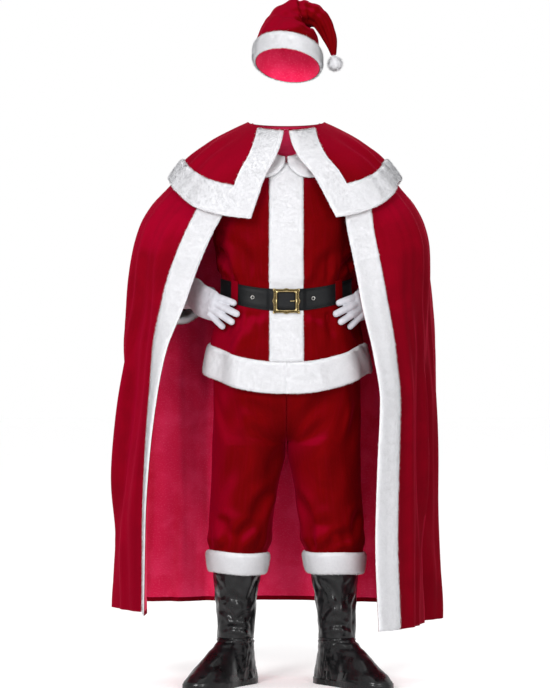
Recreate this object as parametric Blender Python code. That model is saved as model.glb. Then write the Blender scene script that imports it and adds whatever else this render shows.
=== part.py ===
"""A costume suit in red velour with white fur trim, as it hangs on a standing wearer with hands on hips.

It holds a hat, a long cape with a capelet, a jacket with its belt, trousers, gloves and boot covers. Every
piece is a hollow wall. Metres, +Z up, +X to the wearer's left, the front faces -Y. Sizes below are heights
above the floor; the root empty then brings the origin to the middle of the wearer's neck base.
"""

import bpy
import numpy as np

# ---- driving dimensions, metres -------------------------------------------------------------------
NECK_HEIGHT = 1.50
CLOTH = 0.002  # velour wall
FUR = 0.009  # how far fur stands off its cloth
FUR_PRESSED = 0.0028  # the same under the belt
SEAM = 0.0002  # each of two panels stops this far short of their seam
LAID = 0.0004  # between two layers that lie on each other
BAND_WIDTH = 0.075  # fur bands of cape and capelet

BELT_LEVEL, BELT_HALF_HEIGHT, BELT_THICKNESS = 1.032, 0.029, 0.003
CENTRE_BAND_HALF_WIDTH = 0.045
LOOP_WIDTH = 0.017
COLLAR_LEVEL, COLLAR_LIFT = 1.507, 0.0023
COLLAR_START, COLLAR_CORNER = np.radians(1.2), np.radians(16)  # from the middle of the front
COLLAR_SIDE, COLLAR_FRONT, COLLAR_BACK = 0.026, 0.070, 0.030  # its width, and what front and back add
ARMHOLE_LOW, ARMHOLE_HIGH, ARMHOLE_DEPTH = 1.235, 1.452, np.radians(31)
# Levels of the jacket's rows: hem, top of the hem band, belt with the fur pressed flat round it, chest.
PRESSED = (0.990, 1.072)
LOW_LEVELS = (0.785, 0.868, 0.976, 0.990, 1.003, 1.061, 1.072, 1.086, 1.140, 1.190)
YOKE_LEVELS = (1.470, 1.488, 1.510)
HEM_ROWS, CENTRE_BAND_TOP = 2, 1.50
CROTCH, FORK = 0.652, 0.80  # where the legs part, and where they begin to turn into legs
TROUSER_CUFF = (0.302, 0.360)
TROUSER_LEVELS = (0.302, 0.330, 0.360, 0.395, 0.44, 0.50, 0.56, 0.615, CROTCH, 0.664, 0.69, 0.73,
                  FORK, 0.90, 0.999)
WAISTBAND = (1.003, 1.061)

RED, WHITE = (0.38, 0.0, 0.008), (0.86, 0.86, 0.88)
BLACK, GOLD, SILVER = (0.012, 0.012, 0.014), (0.55, 0.40, 0.14), (0.7, 0.7, 0.7)


# ---- tables: one row for each section -------------------------------------------------------------
def table(columns, *rows):
    """A dictionary that holds one array for each named column."""
    return dict(zip(columns.split(), np.array(rows, float).T))


TORSO_SQUARENESS = 2.3
# rise lifts the sides of a level above its front; drop lowers its front.
TORSO = table(
    "level half_width front back rise drop",
    (0.60, 0.222, 0.150, 0.158, 0.059, 0.000),
    (0.785, 0.219, 0.150, 0.158, 0.059, 0.000),
    (0.880, 0.201, 0.149, 0.150, 0.054, 0.000),
    (0.960, 0.184, 0.145, 0.135, 0.047, 0.000),
    (1.032, 0.171, 0.136, 0.121, 0.039, 0.000),
    (1.100, 0.178, 0.141, 0.127, 0.030, 0.000),
    (1.200, 0.194, 0.150, 0.140, 0.010, 0.000),
    (1.280, 0.203, 0.149, 0.146, 0.000, 0.010),
    (1.360, 0.204, 0.143, 0.145, 0.000, 0.035),
    (1.420, 0.196, 0.136, 0.134, 0.000, 0.065),
    (1.452, 0.181, 0.130, 0.121, 0.000, 0.078),
    (1.485, 0.114, 0.119, 0.094, 0.000, 0.092),
    (1.510, 0.072, 0.108, 0.074, -0.015, 0.100),
)
# Columns that start with right and left are the wearer's sides; edge is the front edge's distance from
# the middle, centre the section's depth behind the neck, front and back reach from there, squareness is
# the power of the superellipse, and straight the share by which the front runs straight to its edge.
CAPE = table(
    "level right_width left_width back right_front left_front right_edge left_edge"
    " front_drop back_drop left_drop squareness centre straight folds",
    (1.515, 0.090, 0.090, 0.102, 0.118, 0.118, 0.020, 0.020, 0.040, 0.000, 0.000, 2.0, 0.00, 0.0, 0.000),
    (1.495, 0.132, 0.132, 0.126, 0.136, 0.136, 0.040, 0.040, 0.055, 0.005, 0.000, 2.1, 0.00, 0.0, 0.000),
    (1.463, 0.198, 0.195, 0.153, 0.150, 0.150, 0.070, 0.070, 0.080, 0.015, 0.000, 2.3, 0.00, 0.0, 0.000),
    (1.430, 0.238, 0.234, 0.182, 0.158, 0.158, 0.105, 0.105, 0.100, 0.025, 0.000, 2.5, 0.00, 0.0, 0.000),
    (1.390, 0.273, 0.265, 0.218, 0.164, 0.164, 0.140, 0.136, 0.112, 0.030, 0.000, 2.7, 0.00, 0.0, 0.001),
    (1.345, 0.311, 0.302, 0.250, 0.167, 0.167, 0.168, 0.156, 0.110, 0.030, 0.000, 2.9, 0.00, 0.0, 0.002),
    (1.290, 0.362, 0.346, 0.282, 0.167, 0.169, 0.188, 0.160, 0.085, 0.020, 0.000, 3.1, 0.00, 0.0, 0.002),
    (1.240, 0.390, 0.371, 0.302, 0.166, 0.170, 0.203, 0.165, 0.060, 0.010, 0.000, 3.2, 0.00, 0.0, 0.003),
    (1.190, 0.405, 0.384, 0.312, 0.164, 0.170, 0.218, 0.172, 0.040, 0.000, 0.000, 3.3, 0.00, 0.0, 0.003),
    (1.130, 0.416, 0.390, 0.307, 0.168, 0.182, 0.236, 0.181, 0.020, 0.000, 0.000, 3.2, 0.01, 0.1, 0.004),
    (1.040, 0.426, 0.396, 0.275, 0.186, 0.212, 0.262, 0.197, 0.000, 0.000, 0.001, 3.0, 0.03, 0.4, 0.006),
    (0.900, 0.438, 0.401, 0.225, 0.213, 0.245, 0.308, 0.238, 0.000, 0.000, 0.005, 2.8, 0.06, 0.8, 0.009),
    (0.770, 0.445, 0.404, 0.195, 0.230, 0.268, 0.330, 0.256, 0.000, 0.000, 0.010, 2.7, 0.08, 1.0, 0.011),
    (0.600, 0.453, 0.406, 0.180, 0.240, 0.280, 0.352, 0.252, 0.000, 0.000, 0.017, 2.7, 0.09, 1.0, 0.013),
    (0.440, 0.458, 0.407, 0.175, 0.245, 0.285, 0.366, 0.250, 0.005, 0.000, 0.025, 2.7, 0.10, 1.0, 0.015),
    (0.205, 0.460, 0.408, 0.175, 0.245, 0.290, 0.370, 0.258, 0.012, 0.000, 0.036, 2.7, 0.10, 1.0, 0.018),
)
CAPELET = table(
    "level right_width left_width back right_front left_front right_edge left_edge"
    " front_drop back_drop left_drop squareness centre straight folds",
    (1.518, 0.103, 0.103, 0.1045, 0.132, 0.132, 0.006, 0.006, 0.036, 0.000, 0.000, 2.0, 0.00, 0.0, 0.000),
    (1.500, 0.142, 0.142, 0.148, 0.155, 0.155, 0.012, 0.012, 0.052, 0.005, 0.000, 2.1, 0.00, 0.0, 0.000),
    (1.468, 0.202, 0.199, 0.180, 0.170, 0.170, 0.028, 0.032, 0.068, 0.020, 0.000, 2.3, 0.00, 0.0, 0.000),
    (1.435, 0.245, 0.241, 0.216, 0.178, 0.178, 0.054, 0.070, 0.086, 0.035, 0.000, 2.6, 0.00, 0.0, 0.001),
    (1.398, 0.284, 0.277, 0.257, 0.184, 0.184, 0.074, 0.100, 0.108, 0.055, 0.000, 2.8, 0.00, 0.0, 0.002),
    (1.360, 0.312, 0.306, 0.296, 0.189, 0.189, 0.094, 0.130, 0.134, 0.070, 0.000, 3.0, 0.00, 0.0, 0.003),
)
# The sleeve runs along a cubic curve with these four control points on the wearer's left.
SLEEVE_PATH = ((0.185, 0.000, 1.352), (0.300, 0.090, 1.262), (0.366, 0.262, 1.120), (0.284, 0.042, 1.038))
SLEEVE = table(
    "way radius own_shape",
    (0.00, 0.088, 0.0),
    (0.15, 0.075, 0.5),
    (0.32, 0.064, 1.0),
    (0.50, 0.056, 1.0),
    (0.65, 0.052, 1.0),
    (0.80, 0.054, 1.0),
    (1.00, 0.061, 1.0),
)
# Each leg's section: centre from the middle, half width, half depth, centre's depth.
LEG = table(
    "level centre half_width half_depth depth",
    (0.302, 0.132, 0.0700, 0.0740, 0.010),
    (0.325, 0.131, 0.0730, 0.0770, 0.008),
    (0.365, 0.129, 0.0790, 0.0860, 0.004),
    (0.410, 0.124, 0.0850, 0.0940, 0.002),
    (0.490, 0.116, 0.0880, 0.0990, 0.004),
    (0.560, 0.108, 0.0920, 0.1060, 0.006),
    (0.640, 0.1005, 0.0985, 0.1180, 0.008),
    (0.800, 0.0990, 0.0985, 0.1300, 0.010),
)
# From the jacket's form inwards to the trousers.
TROUSER_INSET = table(
    "level inset",
    (0.600, 0.024),
    (0.790, 0.022),
    (0.950, 0.013),
    (1.005, 0.005),
    (1.100, 0.005),
)
SHAFT = table(
    "level half_width half_depth",
    (0.128, 0.050, 0.060),
    (0.180, 0.052, 0.060),
    (0.240, 0.056, 0.063),
    (0.300, 0.0650, 0.0690),
    (0.345, 0.0675, 0.0715),
)
ANKLE = (0.137, 0.012)  # the shaft's centre at the ankle, and at the knee side its LEG centre
# Down the foot: the share of the way out from the ankle to the sole's edge, at each height.
FOOT = table(
    "down out height",
    (0.0, 0.00, 0.1275),
    (0.2, 0.14, 0.114),
    (0.4, 0.40, 0.088),
    (0.6, 0.70, 0.058),
    (0.8, 0.93, 0.036),
    (0.9, 1.00, 0.020),
    (1.0, 1.00, 0.0),
)
# The sole's half width from heel to toe, along the foot from the ankle's centre.
SOLE = table(
    "way half_width",
    (-0.078, 0.000),
    (-0.066, 0.028),
    (-0.030, 0.040),
    (0.040, 0.042),
    (0.110, 0.052),
    (0.165, 0.048),
    (0.200, 0.030),
    (0.214, 0.000),
)
FOOT_TURN = {-1: np.radians(34), 1: np.radians(38)}

HAT_PITCH, HAT_ROLL = np.radians(19), np.radians(8)
HAT = table(
    "x y level half_width half_depth",
    (0.004, 0.000, 1.672, 0.0880, 0.1030),
    (0.004, 0.000, 1.718, 0.0860, 0.1000),
    (0.006, 0.002, 1.752, 0.0800, 0.0900),
    (0.014, 0.004, 1.783, 0.0660, 0.0720),
    (0.034, 0.004, 1.806, 0.0480, 0.0520),
    (0.062, 0.000, 1.810, 0.0350, 0.0380),
    (0.088, -0.006, 1.797, 0.0270, 0.0280),
    (0.106, -0.012, 1.772, 0.0230, 0.0230),
    (0.118, -0.018, 1.742, 0.0180, 0.0180),
    (0.125, -0.023, 1.715, 0.0120, 0.0120),
    (0.128, -0.026, 1.697, 0.0075, 0.0075),
)
POMPOM_CENTRE, POMPOM_RADIUS = (0.1320, -0.0300, 1.6724), 0.024

# Each finger: knuckle x, height and depth, tip x and height, radius; the tip's depth is on the jacket.
FINGERS = table(
    "knuckle_x knuckle_y knuckle_z tip_x tip_z radius",
    (0.188, -0.098, 1.043, 0.132, 1.022, 0.0100),
    (0.190, -0.099, 1.025, 0.124, 0.992, 0.0102),
    (0.194, -0.096, 1.007, 0.138, 0.970, 0.0100),
    (0.198, -0.092, 0.990, 0.164, 0.957, 0.0092),
)
WRIST, GLOVE_END, KNUCKLES = (0.250, -0.004, 1.054), (0.296, 0.060, 1.050), (0.192, -0.096, 1.017)
THUMB = ((0.234, -0.020, 1.056), (0.214, 0.008, 1.062), (0.200, 0.032, 1.062))
GLOVE = 0.0016  # knitted wall
FINGER_CLEAR = 0.0020  # clears the belt under the first finger


# ---- numbers to shapes ----------------------------------------------------------------------------
def smooth(at, knots, values):
    """A cubic through the knots that never overshoots them (harmonic mean of the neighbouring slopes)."""
    slope = np.diff(values) / np.diff(knots)
    pair = slope[:-1] * slope[1:]
    mean = np.where(pair > 0, 2 * pair / (slope[:-1] + slope[1:] + 1e-30), 0)
    tangent = np.concatenate((slope[:1], mean, slope[-1:]))
    at = np.clip(at, knots[0], knots[-1])
    k = np.clip(np.searchsorted(knots, at, side="right") - 1, 0, len(knots) - 2)
    width = (knots[1:] - knots[:-1])[k]
    t = (at - knots[k]) / width
    return (
        values[k] * (1 + 2 * t) * (1 - t) ** 2
        + values[k + 1] * t * t * (3 - 2 * t)
        + width * tangent[k] * t * (1 - t) ** 2
        - width * tangent[k + 1] * t * t * (1 - t)
    )


def read(rows, column, at):
    """The column's smooth value; the table's first column is the running one and may fall or rise."""
    knots = next(iter(rows.values()))
    order = np.argsort(knots)
    return smooth(np.asarray(at, float), knots[order], rows[column][order])


def powered(value, squareness):
    return np.sign(value) * np.abs(value) ** (2 / squareness)


def normals(surface, across, down, step=1e-3):
    """Unit normals of surface(across, down) from central differences."""
    du = surface(across + step, down) - surface(across - step, down)
    dv = surface(across, down + step) - surface(across, down - step)
    n = np.cross(du, dv)
    return n / np.linalg.norm(n, axis=-1, keepdims=True)


def ring_normals(points):
    """Unit normals of a grid of closed rings."""
    du = np.roll(points, -1, 1) - np.roll(points, 1, 1)
    dv = np.gradient(points, axis=0)
    n = np.cross(du, dv)
    return n / np.linalg.norm(n, axis=-1, keepdims=True)


def pulled_in(points, gap=SEAM, left=True, right=True, top=False, bottom=False):
    """The grid with its named edges drawn in by the gap, along the surface."""
    points = points.copy()

    def draw(edge, beside):
        way = beside - edge
        edge += gap * way / np.linalg.norm(way, axis=-1, keepdims=True)

    if left:
        draw(points[:, 0], points[:, 1])
    if right:
        draw(points[:, -1], points[:, -2])
    if top:
        draw(points[0], points[1])
    if bottom:
        draw(points[-1], points[-2])
    return points


# ---- Blender objects ------------------------------------------------------------------------------
def clear_scene():
    for thing in list(bpy.data.objects):
        bpy.data.objects.remove(thing, do_unlink=True)


def material(name, colour, roughness, metallic=0.0):
    mat = bpy.data.materials.new(name)
    mat.use_nodes = True
    shader = mat.node_tree.nodes["Principled BSDF"]
    shader.inputs["Base Color"].default_value = (*colour, 1.0)
    shader.inputs["Roughness"].default_value = roughness
    shader.inputs["Metallic"].default_value = metallic
    return mat


def add_object(name, points, faces, mat, root, helper=False):
    """A mesh object under the root, facing out, shaded smooth below 40 degrees."""
    faces = np.asarray(faces)
    corner = points[faces[:, :3]]
    if np.einsum("ij,ij->i", corner[:, 0], np.cross(corner[:, 1], corner[:, 2])).sum() < 0:
        faces = faces[:, ::-1]
    mesh = bpy.data.meshes.new(name)
    mesh.from_pydata(points.tolist(), [], faces.tolist())
    mesh.shade_smooth()
    mesh.set_sharp_from_angle(angle=np.radians(40))
    mesh.materials.append(mat)
    thing = bpy.data.objects.new(name, mesh)
    bpy.context.scene.collection.objects.link(thing)
    thing.parent = root
    if helper:
        thing.hide_render = True
        thing.display_type = "WIRE"
    return thing


def grid_faces(rows, columns, closed, first):
    """Two triangles for each cell of a grid, all cut along the same diagonal."""
    r, c = np.meshgrid(np.arange(rows - 1), np.arange(columns if closed else columns - 1), indexing="ij")
    a, b = r * columns + c, r * columns + (c + 1) % columns
    d, e = a + columns, b + columns
    pair = (np.stack(corners, -1).reshape(-1, 3) for corners in ((a, b, e), (a, e, d)))
    return first + np.concatenate(list(pair))


def strip_faces(one, other, closed):
    """Triangles between two rows of vertex numbers."""
    one_next, other_next = np.roll(one, -1), np.roll(other, -1)
    if not closed:
        one, other, one_next, other_next = one[:-1], other[:-1], one_next[:-1], other_next[:-1]
    return np.concatenate((np.stack((one, other, other_next), -1), np.stack((one, other_next, one_next), -1)))


def wall(name, outside, inside, mat, root, closed=False, tip=None):
    """A closed wall between two matching grids. closed joins each row into a ring; tip, an outer and an
    inner point, ends the last ring in a closed point instead of an open rim."""
    rows, columns = outside.shape[:2]
    count = rows * columns
    number = np.arange(count).reshape(rows, columns)
    faces = [grid_faces(rows, columns, closed, 0), grid_faces(rows, columns, closed, count)[:, ::-1]]
    faces.append(strip_faces(number[0], number[0] + count, closed))
    points = [outside.reshape(-1, 3), inside.reshape(-1, 3)]
    if tip is None:
        faces.append(strip_faces(number[-1], number[-1] + count, closed)[:, ::-1])
    else:
        last, following = number[-1], np.roll(number[-1], -1)
        peak = np.full(columns, 2 * count)
        faces.append(np.stack((last, following, peak), -1))
        faces.append(np.stack((following + count, last + count, peak + 1), -1))
        points.append(np.array(tip, float))
    if not closed:
        faces.append(strip_faces(number[:, 0], number[:, 0] + count, False)[:, ::-1])
        faces.append(strip_faces(number[:, -1], number[:, -1] + count, False))
    return add_object(name, np.concatenate(points), np.concatenate(faces), mat, root)


def cloth(name, points, outward, mat, root, thickness=CLOTH, **how):
    """A wall whose outer face is the grid."""
    return wall(name, points, points - thickness * outward, mat, root, **how)


def fur_on(name, points, outward, mat, root, depth=FUR, **how):
    """Fur that lies on the grid: its back just clear of it, its face further out, its rim rounded."""
    depth = np.broadcast_to(np.asarray(depth, float), points.shape[:2]).copy()
    return wall(name, points + (LAID + depth)[..., None] * outward, points + LAID * outward, mat, root, **how)


# ---- jacket ---------------------------------------------------------------------------------------
def torso(angle, level):
    """The jacket's form: superellipse sections; the angle runs from the front to the wearer's left."""
    sideways = 0.75 * np.sin(angle) ** 2 + 0.2 * (1 - np.cos(angle))
    frontal = ((1 + np.cos(angle)) / 2) ** 2
    folds = read(TORSO, "rise", level) * 0.07 * np.cos(9 * angle + 6 * level)
    front = np.cos(angle) > 0
    depth = np.where(front, read(TORSO, "front", level), read(TORSO, "back", level))
    x = (read(TORSO, "half_width", level) + folds) * powered(np.sin(angle), TORSO_SQUARENESS)
    y = -(depth + folds) * powered(np.cos(angle), TORSO_SQUARENESS)
    z = level + read(TORSO, "rise", level) * sideways - read(TORSO, "drop", level) * frontal
    return np.stack(np.broadcast_arrays(x, y, z), -1)


def armhole_cut(level):
    """How far the armhole's edge stands from the side seam, as an angle."""
    half = (ARMHOLE_HIGH - ARMHOLE_LOW) / 2
    along = np.clip((level - ARMHOLE_LOW - half) / half, -1, 1)
    return ARMHOLE_DEPTH * np.sqrt(1 - along**2)


def armhole_levels(count):
    turn = np.linspace(0, np.pi, count)
    return ARMHOLE_LOW + (ARMHOLE_HIGH - ARMHOLE_LOW) * (1 - np.cos(turn)) / 2


def front_grid(hand, levels):
    """A front panel: two columns to the fur centre band's edge, then six to the side seam or armhole.

    Columns run from the wearer's right to the left on every panel, so all cells are cut the same way.
    """
    edge = angle_at(CENTRE_BAND_HALF_WIDTH, levels)[:, None]
    side = (np.pi / 2 - armhole_cut(levels))[:, None]
    angle = np.concatenate((edge * (0, 0.5, 1), edge + (side - edge) * np.linspace(0, 1, 7)[1:]), 1)
    angle = angle if hand > 0 else -angle[:, ::-1]
    level = np.broadcast_to(levels[:, None], angle.shape)
    return torso(angle, level), normals(torso, angle, level)


def back_grid(levels):
    """The back panel, from the left side seam or armhole to the right one."""
    start = (np.pi / 2 + armhole_cut(levels))[:, None]
    angle = start + (2 * np.pi - 2 * start) * np.linspace(0, 1, 13)
    level = np.broadcast_to(levels[:, None], angle.shape)
    return torso(angle, level), normals(torso, angle, level)


def ring_grid(levels):
    """Closed rings of the panels' own points, below the armholes."""
    parts = zip(front_grid(1, levels), back_grid(levels), front_grid(-1, levels))
    return [np.concatenate((left, back[:, 1:], right[:, 1:-1]), 1) for left, back, right in parts]


def angle_at(x, level):
    """The angle at which a level's front reaches x."""
    share = x / read(TORSO, "half_width", level)
    return np.arcsin(np.sign(share) * np.abs(share) ** (TORSO_SQUARENESS / 2))


def make_jacket(mats, root):
    levels = np.concatenate((LOW_LEVELS, armhole_levels(9), YOKE_LEVELS))
    for name, hand in (("left", 1), ("right", -1)):
        points, outward = front_grid(hand, levels)
        cloth(f"jacket_front_{name}", pulled_in(points), outward, mats["velour"], root)
    points, outward = back_grid(levels)
    cloth("jacket_back", pulled_in(points), outward, mats["velour"], root)
    make_jacket_trim(levels, mats, root)


def make_jacket_trim(levels, mats, root):
    hem, rest = levels[:HEM_ROWS], levels[HEM_ROWS - 1 :]
    for name, (points, outward) in (
        ("front_left", front_grid(1, hem)),
        ("front_right", front_grid(-1, hem)),
        ("back", back_grid(hem)),
    ):
        fur_on(f"jacket_hem_band_{name}", pulled_in(points), outward, mats["fur"], root)

    rest = rest[rest < CENTRE_BAND_TOP]
    points, outward = (
        np.concatenate((right[:, -3:-1], left[:, :3]), 1)
        for left, right in zip(front_grid(1, rest), front_grid(-1, rest))
    )
    pressed = (rest > PRESSED[0] - 1e-6) & (rest < PRESSED[1] + 1e-6)
    depth = np.where(pressed, FUR_PRESSED, FUR)[:, None]
    points = pulled_in(points, 0.0006, left=False, right=False, top=True)
    fur_on("jacket_centre_band", points, outward, mats["fur"], root, depth=depth)

    for name, hand in (("left", 1), ("right", -1)):
        angle = COLLAR_START + (np.pi - COLLAR_START) * np.linspace(0, 1, 14)[None, :] ** 1.4
        drawn = np.clip(angle / COLLAR_CORNER, 0, 1)
        width = COLLAR_SIDE + np.where(np.cos(angle) > 0, COLLAR_FRONT, COLLAR_BACK) * np.cos(angle) ** 2
        width = np.maximum(width * np.sqrt(1 - (1 - drawn) ** 2), 0.012)
        level = COLLAR_LEVEL - np.linspace(0, 1, 5)[:, None] * width
        angle = np.broadcast_to(hand * angle, level.shape)
        points, outward = torso(angle, level), normals(torso, angle, level)
        near = np.clip((0.078 - np.abs(points[..., 0])) / 0.030, 0, 1) * (np.cos(angle) > 0)
        lift = COLLAR_LIFT + (FUR + LAID) * near * near * (3 - 2 * near)
        points = points + lift[..., None] * outward
        fur_on(f"jacket_collar_{name}", pulled_in(points, 0.0004), outward, mats["fur"], root)


def bezier(way, controls):
    a, b, c, d = (np.array(p, float) for p in controls)
    t = np.asarray(way, float)[..., None]
    point = (1 - t) ** 3 * a + 3 * t * (1 - t) ** 2 * b + 3 * t * t * (1 - t) * c + t**3 * d
    tangent = 3 * ((1 - t) ** 2 * (b - a) + 2 * t * (1 - t) * (c - b) + t * t * (d - c))
    return point, tangent / np.linalg.norm(tangent, axis=-1, keepdims=True)


def sleeve_rings(way, segments):
    """Rings from the armhole's own edge to round ones along the arm, on the wearer's left."""
    centre, tangent = bezier(way, SLEEVE_PATH)
    ends = np.array(SLEEVE_PATH)
    binormal = np.cross(ends[1] - ends[0], ends[3] - ends[2])
    up = binormal - (tangent @ binormal)[:, None] * tangent
    up /= np.linalg.norm(up, axis=1, keepdims=True)
    if up[0, 2] < 0:
        up = -up
    across = np.cross(tangent, up)
    turn = 2 * np.pi * np.arange(segments) / segments
    radius = read(SLEEVE, "radius", way)[:, None, None]
    ring = -np.cos(turn)[None, :, None] * up[:, None] + np.sin(turn)[None, :, None] * across[:, None]
    round_ring = centre[:, None] + radius * ring
    half = segments // 2
    levels = armhole_levels(half + 1)
    cut = armhole_cut(levels)
    front, back = torso(np.pi / 2 - cut, levels), torso(np.pi / 2 + cut, levels)
    if across[0, 1] > 0:
        front, back = back, front
    hole = np.concatenate((front, back[-2:0:-1]))
    start = hole[None] + 0.0012 * np.array((0.96, 0, 0.28)) + 0.02 * way[:, None, None] * tangent[0]
    share = read(SLEEVE, "own_shape", way)[:, None, None]
    return (1 - share) * (start + (centre - centre[0])[:, None]) + share * round_ring


def make_sleeves(mats, root):
    way = np.array((0, 0.06, 0.15, 0.26, 0.37, 0.47, 0.56, 0.64, 0.72, 0.80, 0.88, 0.94, 1.0))
    rings = sleeve_rings(way, 16)
    outward = ring_normals(rings)
    if np.einsum("ijk,ijk->", outward, rings - rings.mean(1, keepdims=True)) < 0:
        outward = -outward
    for name, hand in (("left", 1), ("right", -1)):
        flip = np.array((hand, 1, 1))
        cloth(f"jacket_sleeve_{name}", rings * flip, outward * flip, mats["velour"], root, closed=True)
        fur_on(f"jacket_cuff_{name}", rings[-3:] * flip, outward[-3:] * flip, mats["fur"], root, closed=True)


# ---- belt -----------------------------------------------------------------------------------------
def belt_rings(levels, outside):
    """Rings of the jacket's points at the belt, moved out past the pressed centre band and by outside."""
    points, outward = ring_grid(np.array(levels))
    over_band = (np.abs(points[..., 0]) < CENTRE_BAND_HALF_WIDTH + 0.001) & (points[..., 1] < 0)
    off = outside + LAID + np.where(over_band, FUR_PRESSED + LAID, 0)
    return points + off[..., None] * outward, outward


def on_belt(x, front=True):
    """The middle of the belt's outer face where the front or back reaches x, the way out and the way up."""
    (low, high), normal = belt_rings(BELT_LEVEL + BELT_HALF_HEIGHT * np.array((-1, 1)), BELT_THICKNESS)
    chosen = np.flatnonzero((low[:, 1] < 0) == front)
    rows = np.concatenate(((low + high) / 2, high - low, normal.mean(0)), 1)[chosen]
    rows = rows[np.argsort(rows[:, 0])]
    place, up, out = np.array([np.interp(x, rows[:, 0], rows[:, k]) for k in range(9)]).reshape(3, 3)
    up /= np.linalg.norm(up)
    out -= (out @ up) * up
    return place, out / np.linalg.norm(out), up


def make_belt(mats, root):
    levels = BELT_LEVEL + BELT_HALF_HEIGHT * np.array((-1, 1))
    points, outward = belt_rings(levels, BELT_THICKNESS)
    cloth("belt_strap", points, outward, mats["belt"], root, thickness=BELT_THICKNESS, closed=True)
    front = points[..., 1].min() - LAID
    for name, x, at_front in (
        ("front_left", 0.139, True),
        ("front_right", -0.136, True),
        ("back_left", 0.100, False),
        ("back_right", -0.100, False),
    ):
        make_loop(f"belt_loop_{name}", x, at_front, mats["velour"], root)
    make_buckle(front, mats, root)
    for name, x in (("left", 0.071), ("right", -0.089)):
        place, out, _ = on_belt(x)
        add_ring(f"belt_eyelet_{name}", place + 0.0021 * out, out, 0.0045, 0.0010, mats["silver"], root)


def make_loop(name, x, at_front, mat, root):
    """A strip of velour over the belt, bent in at both ends towards the jacket."""
    points, outward = [], []
    reach = BELT_HALF_HEIGHT + 0.0045
    for share in (-0.5, 0.0, 0.5):
        place, out, up = on_belt(x + share * LOOP_WIDTH, at_front)
        low, high = place - reach * up, place + reach * up
        points.append((low - 0.0001 * out, low + 0.0026 * out, high + 0.0026 * out, high - 0.0001 * out))
        outward.append((out - up, out - up, out + up, out + up))
    points, outward = (np.array(rows).transpose(1, 0, 2) for rows in (points, outward))
    cloth(name, points, outward, mat, root, thickness=0.0011)


def make_buckle(front, mats, root):
    """The frame is a closed sweep of a small rounded section around a waved rectangle."""
    middle = BELT_LEVEL - 0.003
    steps = 32
    turn = 2 * np.pi * np.arange(steps) / steps
    outline = np.stack((0.0375 * powered(np.cos(turn), 7), 0.0345 * powered(np.sin(turn), 7)), -1)
    wave = 1 + 0.022 * np.cos(12 * turn) - 0.03 * np.cos(4 * turn)
    outer = outline * wave[:, None]
    inner = np.stack((0.0235 * powered(np.cos(turn), 8), 0.024 * powered(np.sin(turn), 8)), -1)
    profile = ((1.0, 0.0), (1.0, 0.0035), (0.82, 0.0062), (0.30, 0.0062), (0.0, 0.0035), (0.0, 0.0))
    rings = []
    for share, depth in profile:
        flat = inner + (outer - inner) * share
        rings.append(np.stack((flat[:, 0], np.full(steps, front - depth), middle + flat[:, 1]), -1))
    count = len(profile)
    number = np.arange(count * steps).reshape(count, steps)
    faces = [strip_faces(number[k], number[(k + 1) % count], True) for k in range(count)]
    add_object("belt_buckle", np.stack(rings).reshape(-1, 3), np.concatenate(faces), mats["gold"], root)

    prong = bpy.data.curves.new("belt_prong", "CURVE")
    prong.dimensions = "3D"
    prong.bevel_depth = 0.0016
    prong.bevel_resolution = 2
    prong.use_fill_caps = True
    line = prong.splines.new("POLY")
    line.points.add(1)
    depth = front - 0.0022
    line.points[0].co = (0.0230, depth, middle, 1)
    line.points[1].co = (0.0080, depth, middle, 1)
    prong.materials.append(mats["gold"])
    thing = bpy.data.objects.new("belt_prong", prong)
    bpy.context.scene.collection.objects.link(thing)
    thing.parent = root


def add_ring(name, place, axis, radius, thickness, mat, root):
    """A small torus whose axis is given."""
    side = np.cross(axis, (0, 0, 1.0))
    side /= np.linalg.norm(side)
    up = np.cross(side, axis)
    turn = 2 * np.pi * np.arange(9) / 9
    tube_turn = 2 * np.pi * np.arange(5) / 5
    spoke = np.cos(turn)[:, None] * side + np.sin(turn)[:, None] * up
    points = (
        place
        + (radius + thickness * np.cos(tube_turn))[None, :, None] * spoke[:, None]
        + (thickness * np.sin(tube_turn))[None, :, None] * np.asarray(axis)
    )
    number = np.arange(45).reshape(9, 5)
    faces = [strip_faces(number[k], number[(k + 1) % 9], True) for k in range(9)]
    add_object(name, points.reshape(-1, 3), np.concatenate(faces), mat, root)


# ---- cape and capelet -----------------------------------------------------------------------------
def mantle(rows, angle, level):
    """A cape's form: superellipse sections whose angle runs from the back, negative to the wearer's right.

    Past the side, the front runs straighter towards its edge by the share in the table.
    """
    left, behind = angle > 0, np.cos(angle) > 0
    squareness = read(rows, "squareness", level)
    width = np.where(left, read(rows, "left_width", level), read(rows, "right_width", level))
    front = np.where(left, read(rows, "left_front", level), read(rows, "right_front", level))
    edge = np.where(left, read(rows, "left_edge", level), read(rows, "right_edge", level))
    depth = np.where(behind, read(rows, "back", level), front)
    folds = read(rows, "folds", level) * (np.cos(8 * angle + 1.0) + 0.4 * np.cos(13 * angle - 0.6))
    x = (width + folds) * powered(np.sin(angle), squareness)
    y = (depth + folds) * powered(np.cos(angle), squareness)

    last = front_angle(width, edge, squareness)
    way = np.clip((np.abs(angle) - np.pi / 2) / (last - np.pi / 2), 0, 1.2)
    straight = read(rows, "straight", level) * np.where(behind, 0, 1)
    x_straight = np.sign(angle) * (width + folds - (width - edge) * way**1.4)
    y_straight = -front * way
    x = (1 - straight) * x + straight * x_straight
    y = (1 - straight) * y + straight * y_straight + read(rows, "centre", level)

    away = np.sqrt(np.cos(angle) ** 2 + 0.02) - np.sqrt(0.02)
    drop = np.where(behind, read(rows, "back_drop", level), read(rows, "front_drop", level))
    longer = np.where(left, read(rows, "left_drop", level) * (1 - np.clip(np.cos(angle), 0, 1)), 0)
    return np.stack(np.broadcast_arrays(x, y, level - drop * away - longer), -1)


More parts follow.
